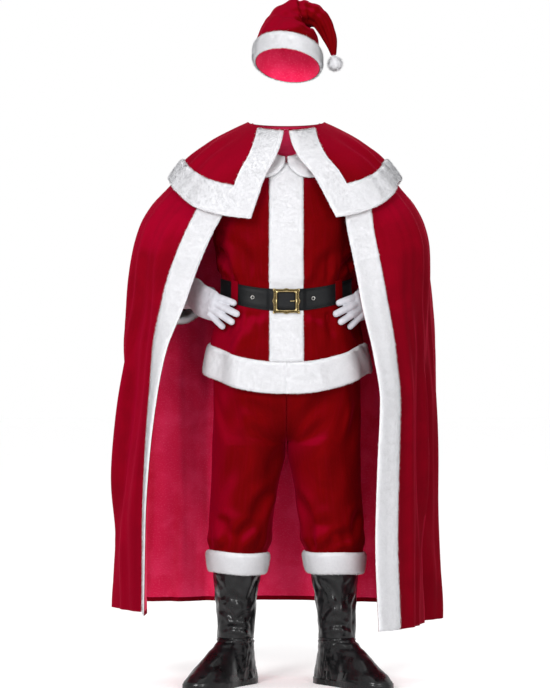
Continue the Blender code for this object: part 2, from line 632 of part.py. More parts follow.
def front_angle(width, edge, squareness):
    """The angle at which a section reaches the front edge's distance from the middle."""
    return np.pi - np.arcsin(np.clip(edge / width, 0, 1) ** (squareness / 2))


def mantle_angles(rows, hand, levels, body_columns, band_columns):
    """Column angles from the centre back to the band, then across the band to the front edge."""
    name = "left" if hand > 0 else "right"
    width, edge = read(rows, f"{name}_width", levels), read(rows, f"{name}_edge", levels)
    last = front_angle(width, edge, read(rows, "squareness", levels))
    step = 0.1 * (last - np.pi / 2)
    here, near = mantle(rows, hand * last, levels), mantle(rows, hand * (last - step), levels)
    speed = np.linalg.norm((here - near)[:, :2], axis=1) / step
    band = last - BAND_WIDTH / speed
    body = band[:, None] * np.linspace(0, 1, body_columns + 1)
    strip = band[:, None] + (last - band)[:, None] * np.linspace(0, 1, band_columns + 1)[1:]
    return hand * np.concatenate((body, strip), 1)


def make_mantle(kind, rows, levels, body_columns, band_rows, mats, root):
    for name, hand in (("left", 1), ("right", -1)):
        angle = mantle_angles(rows, hand, levels, body_columns, 2)
        level = np.broadcast_to(levels[:, None], angle.shape)
        points = mantle(rows, angle, level)
        outward = normals(lambda a, b: mantle(rows, a, b), angle, level)
        if np.einsum("ijk,ijk->", outward[..., :2], points[..., :2]) < 0:
            outward = -outward
        panel = pulled_in(points, right=False)
        cloth(f"{kind}_{name}", panel, outward, mats["velour"], root)
        band = slice(body_columns, None)
        fur_on(f"{kind}_front_band_{name}", panel[:, band], outward[:, band], mats["fur"], root)
        if band_rows:
            hem = (slice(-band_rows, None), slice(body_columns + 1))
            lower = pulled_in(panel[hem], 0.0004, left=False)
            fur_on(f"{kind}_hem_band_{name}", lower, outward[hem], mats["fur"], root)


def make_cape(mats, root):
    levels = np.concatenate((CAPE["level"][:10], (1.04, 0.90, 0.72, 0.54, 0.37, 0.205)))
    make_mantle("cape", CAPE, levels, 12, 0, mats, root)


def make_capelet(mats, root):
    levels = np.array((1.518, 1.500, 1.478, 1.455, 1.430, 1.412, 1.386, 1.360))
    make_mantle("capelet", CAPELET, levels, 12, 3, mats, root)


# ---- trousers -------------------------------------------------------------------------------------
def make_trousers(mats, root):
    rows = np.array(TROUSER_LEVELS)
    cuff = np.flatnonzero(rows <= TROUSER_CUFF[1])
    turn, level = np.meshgrid(np.pi * np.linspace(0, 1, 8), rows)
    for name, hand in (("left", 1), ("right", -1)):
        sides = []
        for face, back in (("front", False), ("back", True)):
            points, outward = trouser_points(turn, level, hand, back)
            sides.append((points, outward))
            cloth(f"trousers_{face}_{name}", pulled_in(points), outward, mats["velour"], root)
        ring = [np.concatenate((a[cuff], b[cuff][:, -2:0:-1]), 1) for a, b in zip(*sides)]
        fur_on(f"trousers_cuff_{name}", *ring, mats["fur"], root, closed=True)
    points, outward = ring_grid(np.array(WAISTBAND))
    points = points - (CLOTH + LAID) * outward
    cloth("trousers_waistband", points, outward, mats["velour"], root, thickness=0.003, closed=True)


def leg_section(angle, level, hand):
    """A leg's section; the angle runs from its inner seam by the front to its side seam."""
    x = read(LEG, "centre", level) - read(LEG, "half_width", level) * np.cos(angle)
    y = read(LEG, "depth", level) - read(LEG, "half_depth", level) * np.sin(angle)
    return np.stack(np.broadcast_arrays(hand * x, y, level), -1)


def trouser_point(turn, level, hand, back):
    angle = hand * (np.pi - turn / 2 if back else turn / 2)
    hips = torso(angle, level)
    out = normals(torso, angle, level)
    hips = hips - read(TROUSER_INSET, "inset", level)[..., None] * out
    leg = leg_section(-turn if back else turn, level, hand)
    t = np.clip((FORK - level) / (FORK - CROTCH), 0, 1)
    share = (1 - np.sqrt(np.clip(1 - t * t, 0, 1)))[..., None]
    return (1 - share) * hips + share * leg


def trouser_points(turn, level, hand, back):
    points = trouser_point(turn, level, hand, back)
    outward = normals(lambda a, b: trouser_point(a, b, hand, back), turn, level, 2e-3)
    middle = np.stack(np.broadcast_arrays(hand * 0.11, 0.0, level), -1)
    if np.einsum("ijk,ijk->", outward, points - middle) < 0:
        outward = -outward
    points[..., 0] = hand * np.maximum(hand * points[..., 0], SEAM)
    return points, outward


# ---- gloves ---------------------------------------------------------------------------------------
def jacket_depth(x, z):
    """The y of the jacket's front at a height, found on a fine row of its points."""
    angle, level = np.meshgrid(np.linspace(0, np.pi / 2, 90), np.linspace(z - 0.06, z + 0.01, 60))
    points = torso(angle, level).reshape(-1, 3)
    return points[np.argmin((points[:, 0] - x) ** 2 + (points[:, 2] - z) ** 2), 1]


def tube(path, radii, flat, segments, squash_axis, grow=0.0):
    """Rings round a path, wider across it than through it, with rounded ends."""
    path, radii = np.array(path, float), np.array(radii, float) + grow
    tangent = np.gradient(path, axis=0)
    tangent /= np.linalg.norm(tangent, axis=1, keepdims=True)
    thin = squash_axis - (tangent @ squash_axis)[:, None] * tangent
    thin /= np.linalg.norm(thin, axis=1, keepdims=True)
    wide = np.cross(tangent, thin)
    turn = 2 * np.pi * np.arange(segments) / segments
    flat = np.array(flat, float) + grow
    return (
        path[:, None]
        + radii[:, None, None] * np.cos(turn)[None, :, None] * wide[:, None]
        + flat[:, None, None] * np.sin(turn)[None, :, None] * thin[:, None]
    )


def solid_tube(name, rings, mat, root, helper=False):
    rows, columns = rings.shape[:2]
    ends = np.stack((rings[0].mean(0), rings[-1].mean(0)))
    points = np.concatenate((rings.reshape(-1, 3), ends))
    number = np.arange(rows * columns).reshape(rows, columns)
    first, last = np.full(columns, rows * columns), np.full(columns, rows * columns + 1)
    faces = [grid_faces(rows, columns, True, 0)]
    faces.append(np.stack((np.roll(number[0], -1), number[0], first), -1))
    faces.append(np.stack((number[-1], np.roll(number[-1], -1), last), -1))
    return add_object(name, points, np.concatenate(faces), mat, root, helper)


def finger_rings(hand, base, tip, radius, grow):
    base, tip = np.array(base), np.array(tip)
    way = tip - base
    length = np.linalg.norm(way)
    along = way / length
    middle = (base + tip) / 2 - np.array((0, 0.003, 0))
    end = tip - along * radius
    stops = [base - (0.012 - 3 * grow) * along, middle, end, tip - along * 0.3 * radius, tip + grow * along]
    widths = np.array((radius, radius, radius, radius * 0.74, radius * 0.25))
    if grow < 0:  # the hollow inside needs no rounded tip
        stops, widths = [*stops[:3], stops[4]], np.delete(widths, 3)
    rings = tube(stops, widths, widths, 6, np.array((0.5, -0.85, 0.1)), grow)
    return rings * np.array((hand, 1, 1))


def glove_tubes(hand, grow, stretch):
    """The glove's palm, thumb and fingers as rings; grow is negative for the hollow inside."""
    end, wrist, knuckles = np.array(GLOVE_END), np.array(WRIST), np.array(KNUCKLES)
    end = end + stretch * (end - wrist) / np.linalg.norm(end - wrist)
    middle = (wrist + knuckles) / 2 + np.array((0.008, -0.004, 0.0))
    beyond = knuckles + (0.014 + 1.5 * grow) * (knuckles - wrist) / np.linalg.norm(knuckles - wrist)
    path = (end, wrist, middle, knuckles, beyond)
    palm = tube(path, (0.036, 0.0425, 0.045, 0.041, 0.034), (0.030, 0.021, 0.0135, 0.0125, 0.009), 10,
                np.array((0.84, -0.54, 0.0)), grow)
    tubes = [palm * np.array((hand, 1, 1))]
    base, bend, tip = (np.array(p) for p in THUMB)
    past = tip + (0.010 + 1.5 * grow) * (tip - bend) / np.linalg.norm(tip - bend)
    root_end = base + 3 * grow * (bend - base) / np.linalg.norm(bend - base)
    thumb = tube((root_end, bend, (bend + tip) / 2, tip, past), (0.014, 0.0125, 0.012, 0.0105, 0.004),
                 (0.013, 0.0115, 0.011, 0.0095, 0.004), 6, np.array((1.0, 0.2, 0.0)), grow)
    tubes.append(thumb * np.array((hand, 1, 1)))
    for k in range(len(FINGERS["tip_x"])):
        row = {name: values[k] for name, values in FINGERS.items()}
        depth = jacket_depth(row["tip_x"], row["tip_z"]) - row["radius"] - FINGER_CLEAR
        base = (row["knuckle_x"], row["knuckle_y"], row["knuckle_z"])
        tubes.append(finger_rings(hand, base, (row["tip_x"], depth, row["tip_z"]), row["radius"], grow))
    return tubes


def make_gloves(mats, root):
    for name, hand in (("left", 1), ("right", -1)):
        outer, inner = glove_tubes(hand, 0.0, 0.0), glove_tubes(hand, -GLOVE, 0.02)
        glove = solid_tube(f"glove_{name}", outer[0], mats["cotton"], root)
        for step, (operation, tubes) in enumerate((("UNION", outer[1:]), ("DIFFERENCE", inner))):
            for k, rings in enumerate(tubes):
                tool = solid_tube(f"glove_tool_{name}_{step}_{k}", rings, mats["cotton"], root, helper=True)
                modifier = glove.modifiers.new(f"{operation.lower()}_{k}", "BOOLEAN")
                modifier.operation = operation
                modifier.solver = "EXACT"
                modifier.object = tool


# ---- boot covers ----------------------------------------------------------------------------------
def sole_radius(angle):
    """The sole outline's distance from the ankle's centre, the angle from the toe."""
    way = np.linspace(SOLE["way"][0], SOLE["way"][-1], 400)
    half = read(SOLE, "half_width", way)
    outline = np.concatenate((np.arctan2(half, way), [np.pi]))
    distance = np.concatenate((np.hypot(half, way), [-SOLE["way"][0]]))
    order = np.argsort(outline)
    return np.interp(np.abs(angle), outline[order], distance[order])


def make_boots(mats, root):
    half_round = np.radians((0, 9, 20, 35, 58, 90, 122, 150, 180))
    from_toe = np.concatenate((half_round, -half_round[-2:0:-1]))
    for name, hand in (("left", 1), ("right", -1)):
        turn = from_toe + hand * FOOT_TURN[hand]
        levels = SHAFT["level"]
        fine = np.concatenate((levels[:1] + 0.0004, levels[1:]))
        centre_x = np.interp(fine, (0.128, 0.30), (ANKLE[0], 0.132))
        centre_y = np.interp(fine, (0.128, 0.30), (ANKLE[1] + 0.008, 0.010))
        x = hand * centre_x[:, None] + read(SHAFT, "half_width", fine)[:, None] * np.sin(turn)
        y = centre_y[:, None] - read(SHAFT, "half_depth", fine)[:, None] * np.cos(turn)
        points = np.stack(np.broadcast_arrays(x, y, fine[:, None]), -1)
        outward = ring_normals(points)
        outward *= np.sign(np.einsum("ijk,ijk->", outward, points - points.mean(1, keepdims=True)))
        cloth(f"boot_shaft_{name}", points, outward, mats["vinyl"], root, closed=True)

        low = SHAFT["level"][0]
        spoke = np.stack((np.sin(turn), -np.cos(turn)), -1)
        ankle = spoke * (read(SHAFT, "half_width", low), read(SHAFT, "half_depth", low))
        sole = sole_radius(from_toe)[:, None] * spoke
        down = np.array((0, 0.24, 0.50, 0.74, 0.90, 1.0))
        out = read(FOOT, "out", down)[:, None, None]
        flat = ankle[None] + out * (sole - ankle)[None]
        height = read(FOOT, "height", down)
        points = np.concatenate((flat, np.broadcast_to(height[:, None, None], (*flat.shape[:2], 1))), -1)
        points = points + np.array((hand * ANKLE[0], ANKLE[1] + 0.008, 0))
        outward = ring_normals(points)
        outward *= np.sign(np.einsum("ijk,ijk->", outward, points - points.mean(1, keepdims=True)))
        inside = points - CLOTH * outward
        inside[..., 2] = np.clip(inside[..., 2], 0, None)
        inside[-1, :, 2] = 0
        inside[0, :, 2] = points[0, :, 2]
        wall(f"boot_foot_{name}", points, inside, mats["vinyl"], root, closed=True)


# ---- hat ------------------------------------------------------------------------------------------
def hat_rings(way, segments):
    """Rings along the crown's bent path, the lower ones tipped back and to the left."""
    knots = np.arange(len(HAT["x"]), dtype=float)
    centre = np.stack([smooth(way, knots, HAT[c]) for c in ("x", "y", "level")], -1)
    wide, deep = smooth(way, knots, HAT["half_width"]), smooth(way, knots, HAT["half_depth"])
    step = 1e-2
    ahead = np.stack([smooth(way + step, knots, HAT[c]) for c in ("x", "y", "level")], -1)
    behind = np.stack([smooth(way - step, knots, HAT[c]) for c in ("x", "y", "level")], -1)
    axis = (ahead - behind) / np.linalg.norm(ahead - behind, axis=1, keepdims=True)
    tipped = np.array((np.sin(HAT_ROLL), np.sin(HAT_PITCH), np.cos(HAT_PITCH)))
    tipped /= np.linalg.norm(tipped)
    share = np.clip(1 - (way - 1) / 2.5, 0, 1)[:, None]
    axis = share * tipped + (1 - share) * axis
    axis /= np.linalg.norm(axis, axis=1, keepdims=True)
    front = np.array((0, -1.0, 0)) - (axis @ np.array((0, -1.0, 0)))[:, None] * axis
    front /= np.linalg.norm(front, axis=1, keepdims=True)
    left = np.cross(front, axis)
    turn = 2 * np.pi * np.arange(segments) / segments
    return (
        centre[:, None]
        + wide[:, None, None] * np.sin(turn)[None, :, None] * left[:, None]
        + deep[:, None, None] * np.cos(turn)[None, :, None] * front[:, None]
    )


def make_hat(mats, root):
    rings = hat_rings(np.concatenate(((0, 0.5, 1.0), np.linspace(1.6, len(HAT["x"]) - 1, 9))), 14)
    outward = ring_normals(rings)
    outward *= np.sign(np.einsum("ijk,ijk->", outward, rings - rings.mean(1, keepdims=True)))
    last, before = rings[-1].mean(0), rings[-2].mean(0)
    along = (last - before) / np.linalg.norm(last - before)
    inside = rings - CLOTH * outward
    inside[-1] -= 0.001 * along
    tip = (last + 0.002 * along, last)
    wall("hat_crown", rings, inside, mats["velour"], root, closed=True, tip=tip)
    fur_on("hat_band", rings[:3], outward[:3], mats["fur"], root, depth=0.011, closed=True)

    bpy.ops.mesh.primitive_ico_sphere_add(subdivisions=2, radius=POMPOM_RADIUS, location=POMPOM_CENTRE)
    pompom = bpy.context.object
    pompom.name = pompom.data.name = "hat_pompom"
    pompom.data.materials.append(mats["fur"])
    pompom.data.shade_smooth()
    pompom.parent = root
    pompom.matrix_parent_inverse.identity()


def main():
    clear_scene()
    root = bpy.data.objects.new("suit_root", None)
    root.location = (0, 0, -NECK_HEIGHT)
    bpy.context.scene.collection.objects.link(root)
    mats = {
        "velour": material("red_velour", RED, 0.75),
        "fur": material("white_fur", WHITE, 0.95),
        "belt": material("black_belt", BLACK, 0.45),
        "gold": material("antique_gold", GOLD, 0.35, 1.0),
        "silver": material("nickel", SILVER, 0.3, 1.0),
        "cotton": material("white_cotton", WHITE, 0.85),
        "vinyl": material("black_vinyl", BLACK, 0.3),
    }
    make_jacket(mats, root)
    make_sleeves(mats, root)
    make_belt(mats, root)
    make_cape(mats, root)
    make_capelet(mats, root)
    make_trousers(mats, root)
    make_gloves(mats, root)
    make_boots(mats, root)
    make_hat(mats, root)


main()
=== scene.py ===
"""Looks of a red velour costume suit with white fur trim, hollow as it hangs on a standing wearer.

Each garment is a thin shell on the form of its CAD panels, with its folds worked in, and each fur trim is
laid on those same points as a soft base with strands of pile. Tables give heights above the floor; the
mesh builders bring them down to the frame, whose origin is the middle of the wearer's neck base.
"""

from functools import cache

import bmesh
import bpy
import numpy as np
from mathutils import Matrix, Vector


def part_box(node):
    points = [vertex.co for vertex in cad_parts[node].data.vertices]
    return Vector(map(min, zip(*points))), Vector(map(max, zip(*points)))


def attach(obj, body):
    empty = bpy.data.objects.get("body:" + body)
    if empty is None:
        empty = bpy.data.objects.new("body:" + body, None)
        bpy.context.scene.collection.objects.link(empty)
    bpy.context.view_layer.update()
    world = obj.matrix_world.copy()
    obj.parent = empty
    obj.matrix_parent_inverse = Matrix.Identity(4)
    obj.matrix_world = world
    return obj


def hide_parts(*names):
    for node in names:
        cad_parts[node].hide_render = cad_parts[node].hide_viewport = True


bl_info = {
    "name": "Velour suit with cape",
    "version": (1, 0, 0),
    "blender": (4, 5, 0),
    "location": "3D View > Sidebar > Suit",
    "description": "Builds the cloth, fur, belt and boot covers of a red velour suit round its CAD frame",
    "category": "Add Mesh",
}

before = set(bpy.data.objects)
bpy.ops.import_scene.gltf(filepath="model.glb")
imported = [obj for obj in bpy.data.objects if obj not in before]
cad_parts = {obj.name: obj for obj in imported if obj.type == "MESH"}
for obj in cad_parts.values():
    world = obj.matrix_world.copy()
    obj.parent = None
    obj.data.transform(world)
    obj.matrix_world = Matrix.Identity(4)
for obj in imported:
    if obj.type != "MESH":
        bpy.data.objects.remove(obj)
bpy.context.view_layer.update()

# ---- driving dimensions, metres ----
NECK_HEIGHT = 1.50  # the frame's origin above the floor
SIDES = (("left", 1), ("right", -1))  # the wearer's, with the sign of x there
LAID = 0.0004  # between two layers that lie on each other
BAND_WIDTH = 0.075  # fur bands of cape and capelet
BELT_LEVEL, BELT_HALF_HEIGHT = 1.032, 0.029
CENTRE_BAND_HALF_WIDTH = 0.045
COLLAR_LEVEL, COLLAR_LIFT = 1.507, 0.0023
COLLAR_START, COLLAR_CORNER = np.radians(1.2), np.radians(16)
COLLAR_SIDE, COLLAR_FRONT, COLLAR_BACK, COLLAR_LEAST = 0.026, 0.070, 0.030, 0.012
ARMHOLE_LOW, ARMHOLE_HIGH, ARMHOLE_DEPTH = 1.235, 1.452, np.radians(31)
JACKET_HEM, HEM_BAND_TOP, JACKET_TOP, CENTRE_BAND_TOP = 0.785, 0.868, 1.510, 1.488
CROTCH, FORK = 0.652, 0.80
TROUSER_HEM, TROUSER_CUFF_TOP, TROUSER_TOP = 0.302, 0.360, 0.999
CAPE_HEM, CAPE_TOP = 0.205, 1.515
CAPELET_HEM, CAPELET_TOP = 1.360, 1.518
CAPELET_BAND = 0.052  # its hem band, measured as a drop in level
SLEEVE_ROUND = 0.38  # the way round a sleeve, on which its creases are placed
CUFF_START, CUFF_ROLL = 0.88, 0.0035  # a share of the sleeve's way; half the roll's thickness
OVER_BAND_LIFT = 0.0032  # how far the belt stands further off where it crosses the centre band
BUCKLE_OPENING = (0.0238, 0.0236)  # half its width and height
HAT_PILE, TROUSER_CUFF_PILE = 0.011, 0.0095
POMPOM_RADIUS, POMPOM_PILE = 0.0165, 0.0085
BASE_ALONG = 0.42  # how far up the pile its soft base counts, which sets its painted shade
VINYL_WALL = 0.0008
CRUMPLE_MEAN = 0.0012  # taken off the crumples' heights, so that they stay about the form
SHAFT_ARC = 0.058  # metres round a boot cover's shaft for each radian
GLOVE_VOXEL = 0.0020


# ---- tables: one row for each section ----
def table(columns, *rows):
    """A dictionary that holds one array for each named column."""
    return dict(zip(columns.split(), np.array(rows, float).T))


TORSO_SQUARENESS = 2.3
# rise lifts the sides of a level above its front; drop lowers its front.
TORSO = table(
    "level half_width front back rise drop",
    (0.60, 0.222, 0.150, 0.158, 0.059, 0.000),
    (0.785, 0.219, 0.150, 0.158, 0.059, 0.000),
    (0.880, 0.201, 0.149, 0.150, 0.054, 0.000),
    (0.960, 0.184, 0.145, 0.135, 0.047, 0.000),
    (1.032, 0.171, 0.136, 0.121, 0.039, 0.000),
    (1.100, 0.178, 0.141, 0.127, 0.030, 0.000),
    (1.200, 0.194, 0.150, 0.140, 0.010, 0.000),
    (1.280, 0.203, 0.149, 0.146, 0.000, 0.010),
    (1.360, 0.204, 0.143, 0.145, 0.000, 0.035),
    (1.420, 0.196, 0.136, 0.134, 0.000, 0.065),
    (1.452, 0.181, 0.130, 0.121, 0.000, 0.078),
    (1.485, 0.114, 0.119, 0.094, 0.000, 0.092),
    (1.510, 0.072, 0.108, 0.074, -0.015, 0.100),
)
# right and left are the wearer's sides; edge is the front edge's distance from the middle, centre the
# section's depth behind the neck, squareness the power of the superellipse, and straight the share by
# which the front runs straight to its edge.
MANTLE = (
    "level right_width left_width back right_front left_front right_edge left_edge"
    " front_drop back_drop left_drop squareness centre straight folds"
)
CAPE = table(
    MANTLE,
    (1.515, 0.090, 0.090, 0.102, 0.118, 0.118, 0.020, 0.020, 0.040, 0.000, 0.000, 2.0, 0.00, 0.0, 0.000),
    (1.495, 0.132, 0.132, 0.126, 0.136, 0.136, 0.040, 0.040, 0.055, 0.005, 0.000, 2.1, 0.00, 0.0, 0.000),
    (1.463, 0.198, 0.195, 0.153, 0.150, 0.150, 0.070, 0.070, 0.080, 0.015, 0.000, 2.3, 0.00, 0.0, 0.000),
    (1.430, 0.238, 0.234, 0.182, 0.158, 0.158, 0.105, 0.105, 0.100, 0.025, 0.000, 2.5, 0.00, 0.0, 0.000),
    (1.390, 0.273, 0.265, 0.218, 0.164, 0.164, 0.140, 0.136, 0.112, 0.030, 0.000, 2.7, 0.00, 0.0, 0.001),
    (1.345, 0.311, 0.302, 0.250, 0.167, 0.167, 0.168, 0.156, 0.110, 0.030, 0.000, 2.9, 0.00, 0.0, 0.002),
    (1.290, 0.362, 0.346, 0.282, 0.167, 0.169, 0.188, 0.160, 0.085, 0.020, 0.000, 3.1, 0.00, 0.0, 0.002),
    (1.240, 0.390, 0.371, 0.302, 0.166, 0.170, 0.203, 0.165, 0.060, 0.010, 0.000, 3.2, 0.00, 0.0, 0.003),
    (1.190, 0.405, 0.384, 0.312, 0.164, 0.170, 0.218, 0.172, 0.040, 0.000, 0.000, 3.3, 0.00, 0.0, 0.003),
    (1.130, 0.416, 0.390, 0.307, 0.168, 0.182, 0.236, 0.181, 0.020, 0.000, 0.000, 3.2, 0.01, 0.1, 0.004),
    (1.040, 0.426, 0.396, 0.275, 0.186, 0.212, 0.262, 0.197, 0.000, 0.000, 0.001, 3.0, 0.03, 0.4, 0.006),
    (0.900, 0.438, 0.401, 0.225, 0.213, 0.245, 0.308, 0.238, 0.000, 0.000, 0.005, 2.8, 0.06, 0.8, 0.009),
    (0.770, 0.445, 0.404, 0.195, 0.230, 0.268, 0.330, 0.256, 0.000, 0.000, 0.010, 2.7, 0.08, 1.0, 0.011),
    (0.600, 0.453, 0.406, 0.180, 0.240, 0.280, 0.352, 0.252, 0.000, 0.000, 0.017, 2.7, 0.09, 1.0, 0.013),
    (0.440, 0.458, 0.407, 0.175, 0.245, 0.285, 0.366, 0.250, 0.005, 0.000, 0.025, 2.7, 0.10, 1.0, 0.015),
    (0.205, 0.460, 0.408, 0.175, 0.245, 0.290, 0.370, 0.258, 0.012, 0.000, 0.036, 2.7, 0.10, 1.0, 0.018),
)
CAPELET = table(
    MANTLE,
    (1.518, 0.103, 0.103, 0.1045, 0.132, 0.132, 0.006, 0.006, 0.036, 0.000, 0.000, 2.0, 0.00, 0.0, 0.000),
    (1.500, 0.142, 0.142, 0.148, 0.155, 0.155, 0.012, 0.012, 0.052, 0.005, 0.000, 2.1, 0.00, 0.0, 0.000),
    (1.468, 0.202, 0.199, 0.180, 0.170, 0.170, 0.028, 0.032, 0.068, 0.020, 0.000, 2.3, 0.00, 0.0, 0.000),
    (1.435, 0.245, 0.241, 0.216, 0.178, 0.178, 0.054, 0.070, 0.086, 0.035, 0.000, 2.6, 0.00, 0.0, 0.001),
    (1.398, 0.284, 0.277, 0.257, 0.184, 0.184, 0.074, 0.100, 0.108, 0.055, 0.000, 2.8, 0.00, 0.0, 0.002),
    (1.360, 0.312, 0.306, 0.296, 0.189, 0.189, 0.094, 0.130, 0.134, 0.070, 0.000, 3.0, 0.00, 0.0, 0.003),
)
SLEEVE_PATH = ((0.185, 0.000, 1.352), (0.300, 0.090, 1.262), (0.366, 0.262, 1.120), (0.284, 0.042, 1.038))
SLEEVE = table(
    "way radius own_shape",
    (0.00, 0.088, 0.0),
    (0.15, 0.075, 0.5),
    (0.32, 0.064, 1.0),
    (0.50, 0.056, 1.0),
    (0.65, 0.052, 1.0),
    (0.80, 0.054, 1.0),
    (1.00, 0.061, 1.0),
)
LEG = table(
    "level centre half_width half_depth depth",
    (0.302, 0.132, 0.0700, 0.0740, 0.010),
    (0.325, 0.131, 0.0730, 0.0770, 0.008),
    (0.365, 0.129, 0.0790, 0.0860, 0.004),
    (0.410, 0.124, 0.0850, 0.0940, 0.002),
    (0.490, 0.116, 0.0880, 0.0990, 0.004),
    (0.560, 0.108, 0.0920, 0.1060, 0.006),
    (0.640, 0.1005, 0.0985, 0.1180, 0.008),
    (0.800, 0.0990, 0.0985, 0.1300, 0.010),
)
TROUSER_INSET = table(
    "level inset",
    (0.600, 0.024),
    (0.790, 0.022),
    (0.950, 0.013),
    (1.005, 0.005),
    (1.100, 0.005),
)
SHAFT = table(
    "level half_width half_depth",
    (0.128, 0.050, 0.060),
    (0.180, 0.052, 0.060),
    (0.240, 0.056, 0.063),
    (0.300, 0.0650, 0.0690),
    (0.345, 0.0675, 0.0715),
)
# The shaft's centre, sideways and in depth, runs from the ankle's at the first level to the calf's.
ANKLE, CALF, CALF_LEVELS = (0.137, 0.020), (0.132, 0.010), (0.128, 0.30)
FOOT = table(
    "down out height",
    (0.0, 0.00, 0.1275),
    (0.2, 0.14, 0.114),
    (0.4, 0.40, 0.088),
    (0.6, 0.70, 0.054),
    (0.8, 0.93, 0.030),
    (0.9, 1.00, 0.018),
    (1.0, 1.00, 0.0),
)
SOLE = table(
    "way half_width",
    (-0.078, 0.000),
    (-0.066, 0.028),
    (-0.030, 0.040),
    (0.040, 0.042),
    (0.110, 0.052),
    (0.165, 0.048),
    (0.200, 0.030),
    (0.214, 0.000),
)
FOOT_TURN = {-1: np.radians(34), 1: np.radians(38)}
HAT_PITCH, HAT_ROLL = np.radians(19), np.radians(8)
HAT = table(
    "x y level half_width half_depth",
    (0.004, 0.000, 1.672, 0.0880, 0.1030),
    (0.004, 0.000, 1.718, 0.0860, 0.1000),
    (0.006, 0.002, 1.752, 0.0800, 0.0900),
    (0.014, 0.004, 1.783, 0.0660, 0.0720),
    (0.034, 0.004, 1.806, 0.0480, 0.0520),
    (0.062, 0.000, 1.810, 0.0350, 0.0380),
    (0.088, -0.006, 1.797, 0.0270, 0.0280),
    (0.106, -0.012, 1.772, 0.0230, 0.0230),
    (0.118, -0.018, 1.742, 0.0180, 0.0180),
    (0.125, -0.023, 1.715, 0.0120, 0.0120),
    (0.128, -0.026, 1.697, 0.0075, 0.0075),
)
FINGERS = table(
    "knuckle_x knuckle_y knuckle_z tip_x tip_z radius",
    (0.188, -0.098, 1.043, 0.132, 1.022, 0.0100),
    (0.190, -0.099, 1.025, 0.124, 0.992, 0.0102),
    (0.194, -0.096, 1.007, 0.138, 0.970, 0.0100),
    (0.198, -0.092, 0.990, 0.164, 0.957, 0.0092),
)
FINGER_CLEAR = 0.0020
PALM_NORMAL = (0.84, -0.54, 0.0)
WRIST, GLOVE_END, KNUCKLES = (0.250, -0.004, 1.054), (0.296, 0.060, 1.050), (0.192, -0.096, 1.017)
THUMB = ((0.234, -0.020, 1.056), (0.214, 0.008, 1.062), (0.200, 0.032, 1.062))

# The buckle's outer edge, from the middle of a side to its corner, as shares of the half size.
BUCKLE = table(
    "share reach",
    (0.00, 1.000),
    (0.10, 0.985),
    (0.22, 0.930),
    (0.40, 0.915),
    (0.60, 0.915),
    (0.76, 0.930),
    (0.88, 0.975),
    (1.00, 0.960),
)

# How much higher a trouser cuff stands at the inner seam than at the side.
CUFF_SLANT = {-1: -0.0040, 1: 0.0010}

CREASE = "arc level arc_end level_end width depth"
# Creases listed one by one: a trough from (arc, level) to (arc_end, level_end), with its width and depth. An
# arc is the way round the body in metres, from the middle of the front, wearer's right negative.
JACKET_CREASES = table(
    CREASE,
    (-0.057, 1.000, -0.176, 0.905, 0.011, 0.0058),
    (-0.077, 0.968, -0.150, 0.873, 0.010, 0.0042),
    (-0.110, 0.998, -0.215, 0.940, 0.008, 0.0040),
    (0.063, 1.000, 0.118, 0.922, 0.011, 0.0052),
    (0.112, 0.990, 0.240, 0.850, 0.010, 0.0044),
    (0.147, 1.070, 0.250, 1.135, 0.010, 0.0046),
    (-0.148, 1.070, -0.255, 1.165, 0.012, 0.0060),
    (-0.095, 1.072, -0.130, 1.190, 0.012, 0.0034),
    (0.090, 1.074, 0.118, 1.160, 0.012, 0.0030),
    (-0.240, 1.080, -0.230, 1.215, 0.009, 0.0050),
    (0.262, 1.080, 0.238, 1.215, 0.009, 0.0046),
    (-0.170, 1.225, -0.095, 1.330, 0.016, 0.0030),
    (0.175, 1.225, 0.105, 1.320, 0.016, 0.0028),
    (0.345, 1.075, 0.400, 1.190, 0.012, 0.0052),
    (-0.360, 1.075, -0.420, 1.180, 0.012, 0.0050),
    (0.460, 1.072, 0.480, 1.220, 0.013, 0.0044),
    (-0.480, 1.072, -0.500, 1.200, 0.013, 0.0040),
    (0.330, 1.000, 0.380, 0.900, 0.012, 0.0046),
    (-0.345, 1.000, -0.400, 0.890, 0.012, 0.0046),
    (0.470, 1.000, 0.455, 0.890, 0.012, 0.0036),
    (-0.480, 1.000, -0.470, 0.900, 0.012, 0.0036),
)
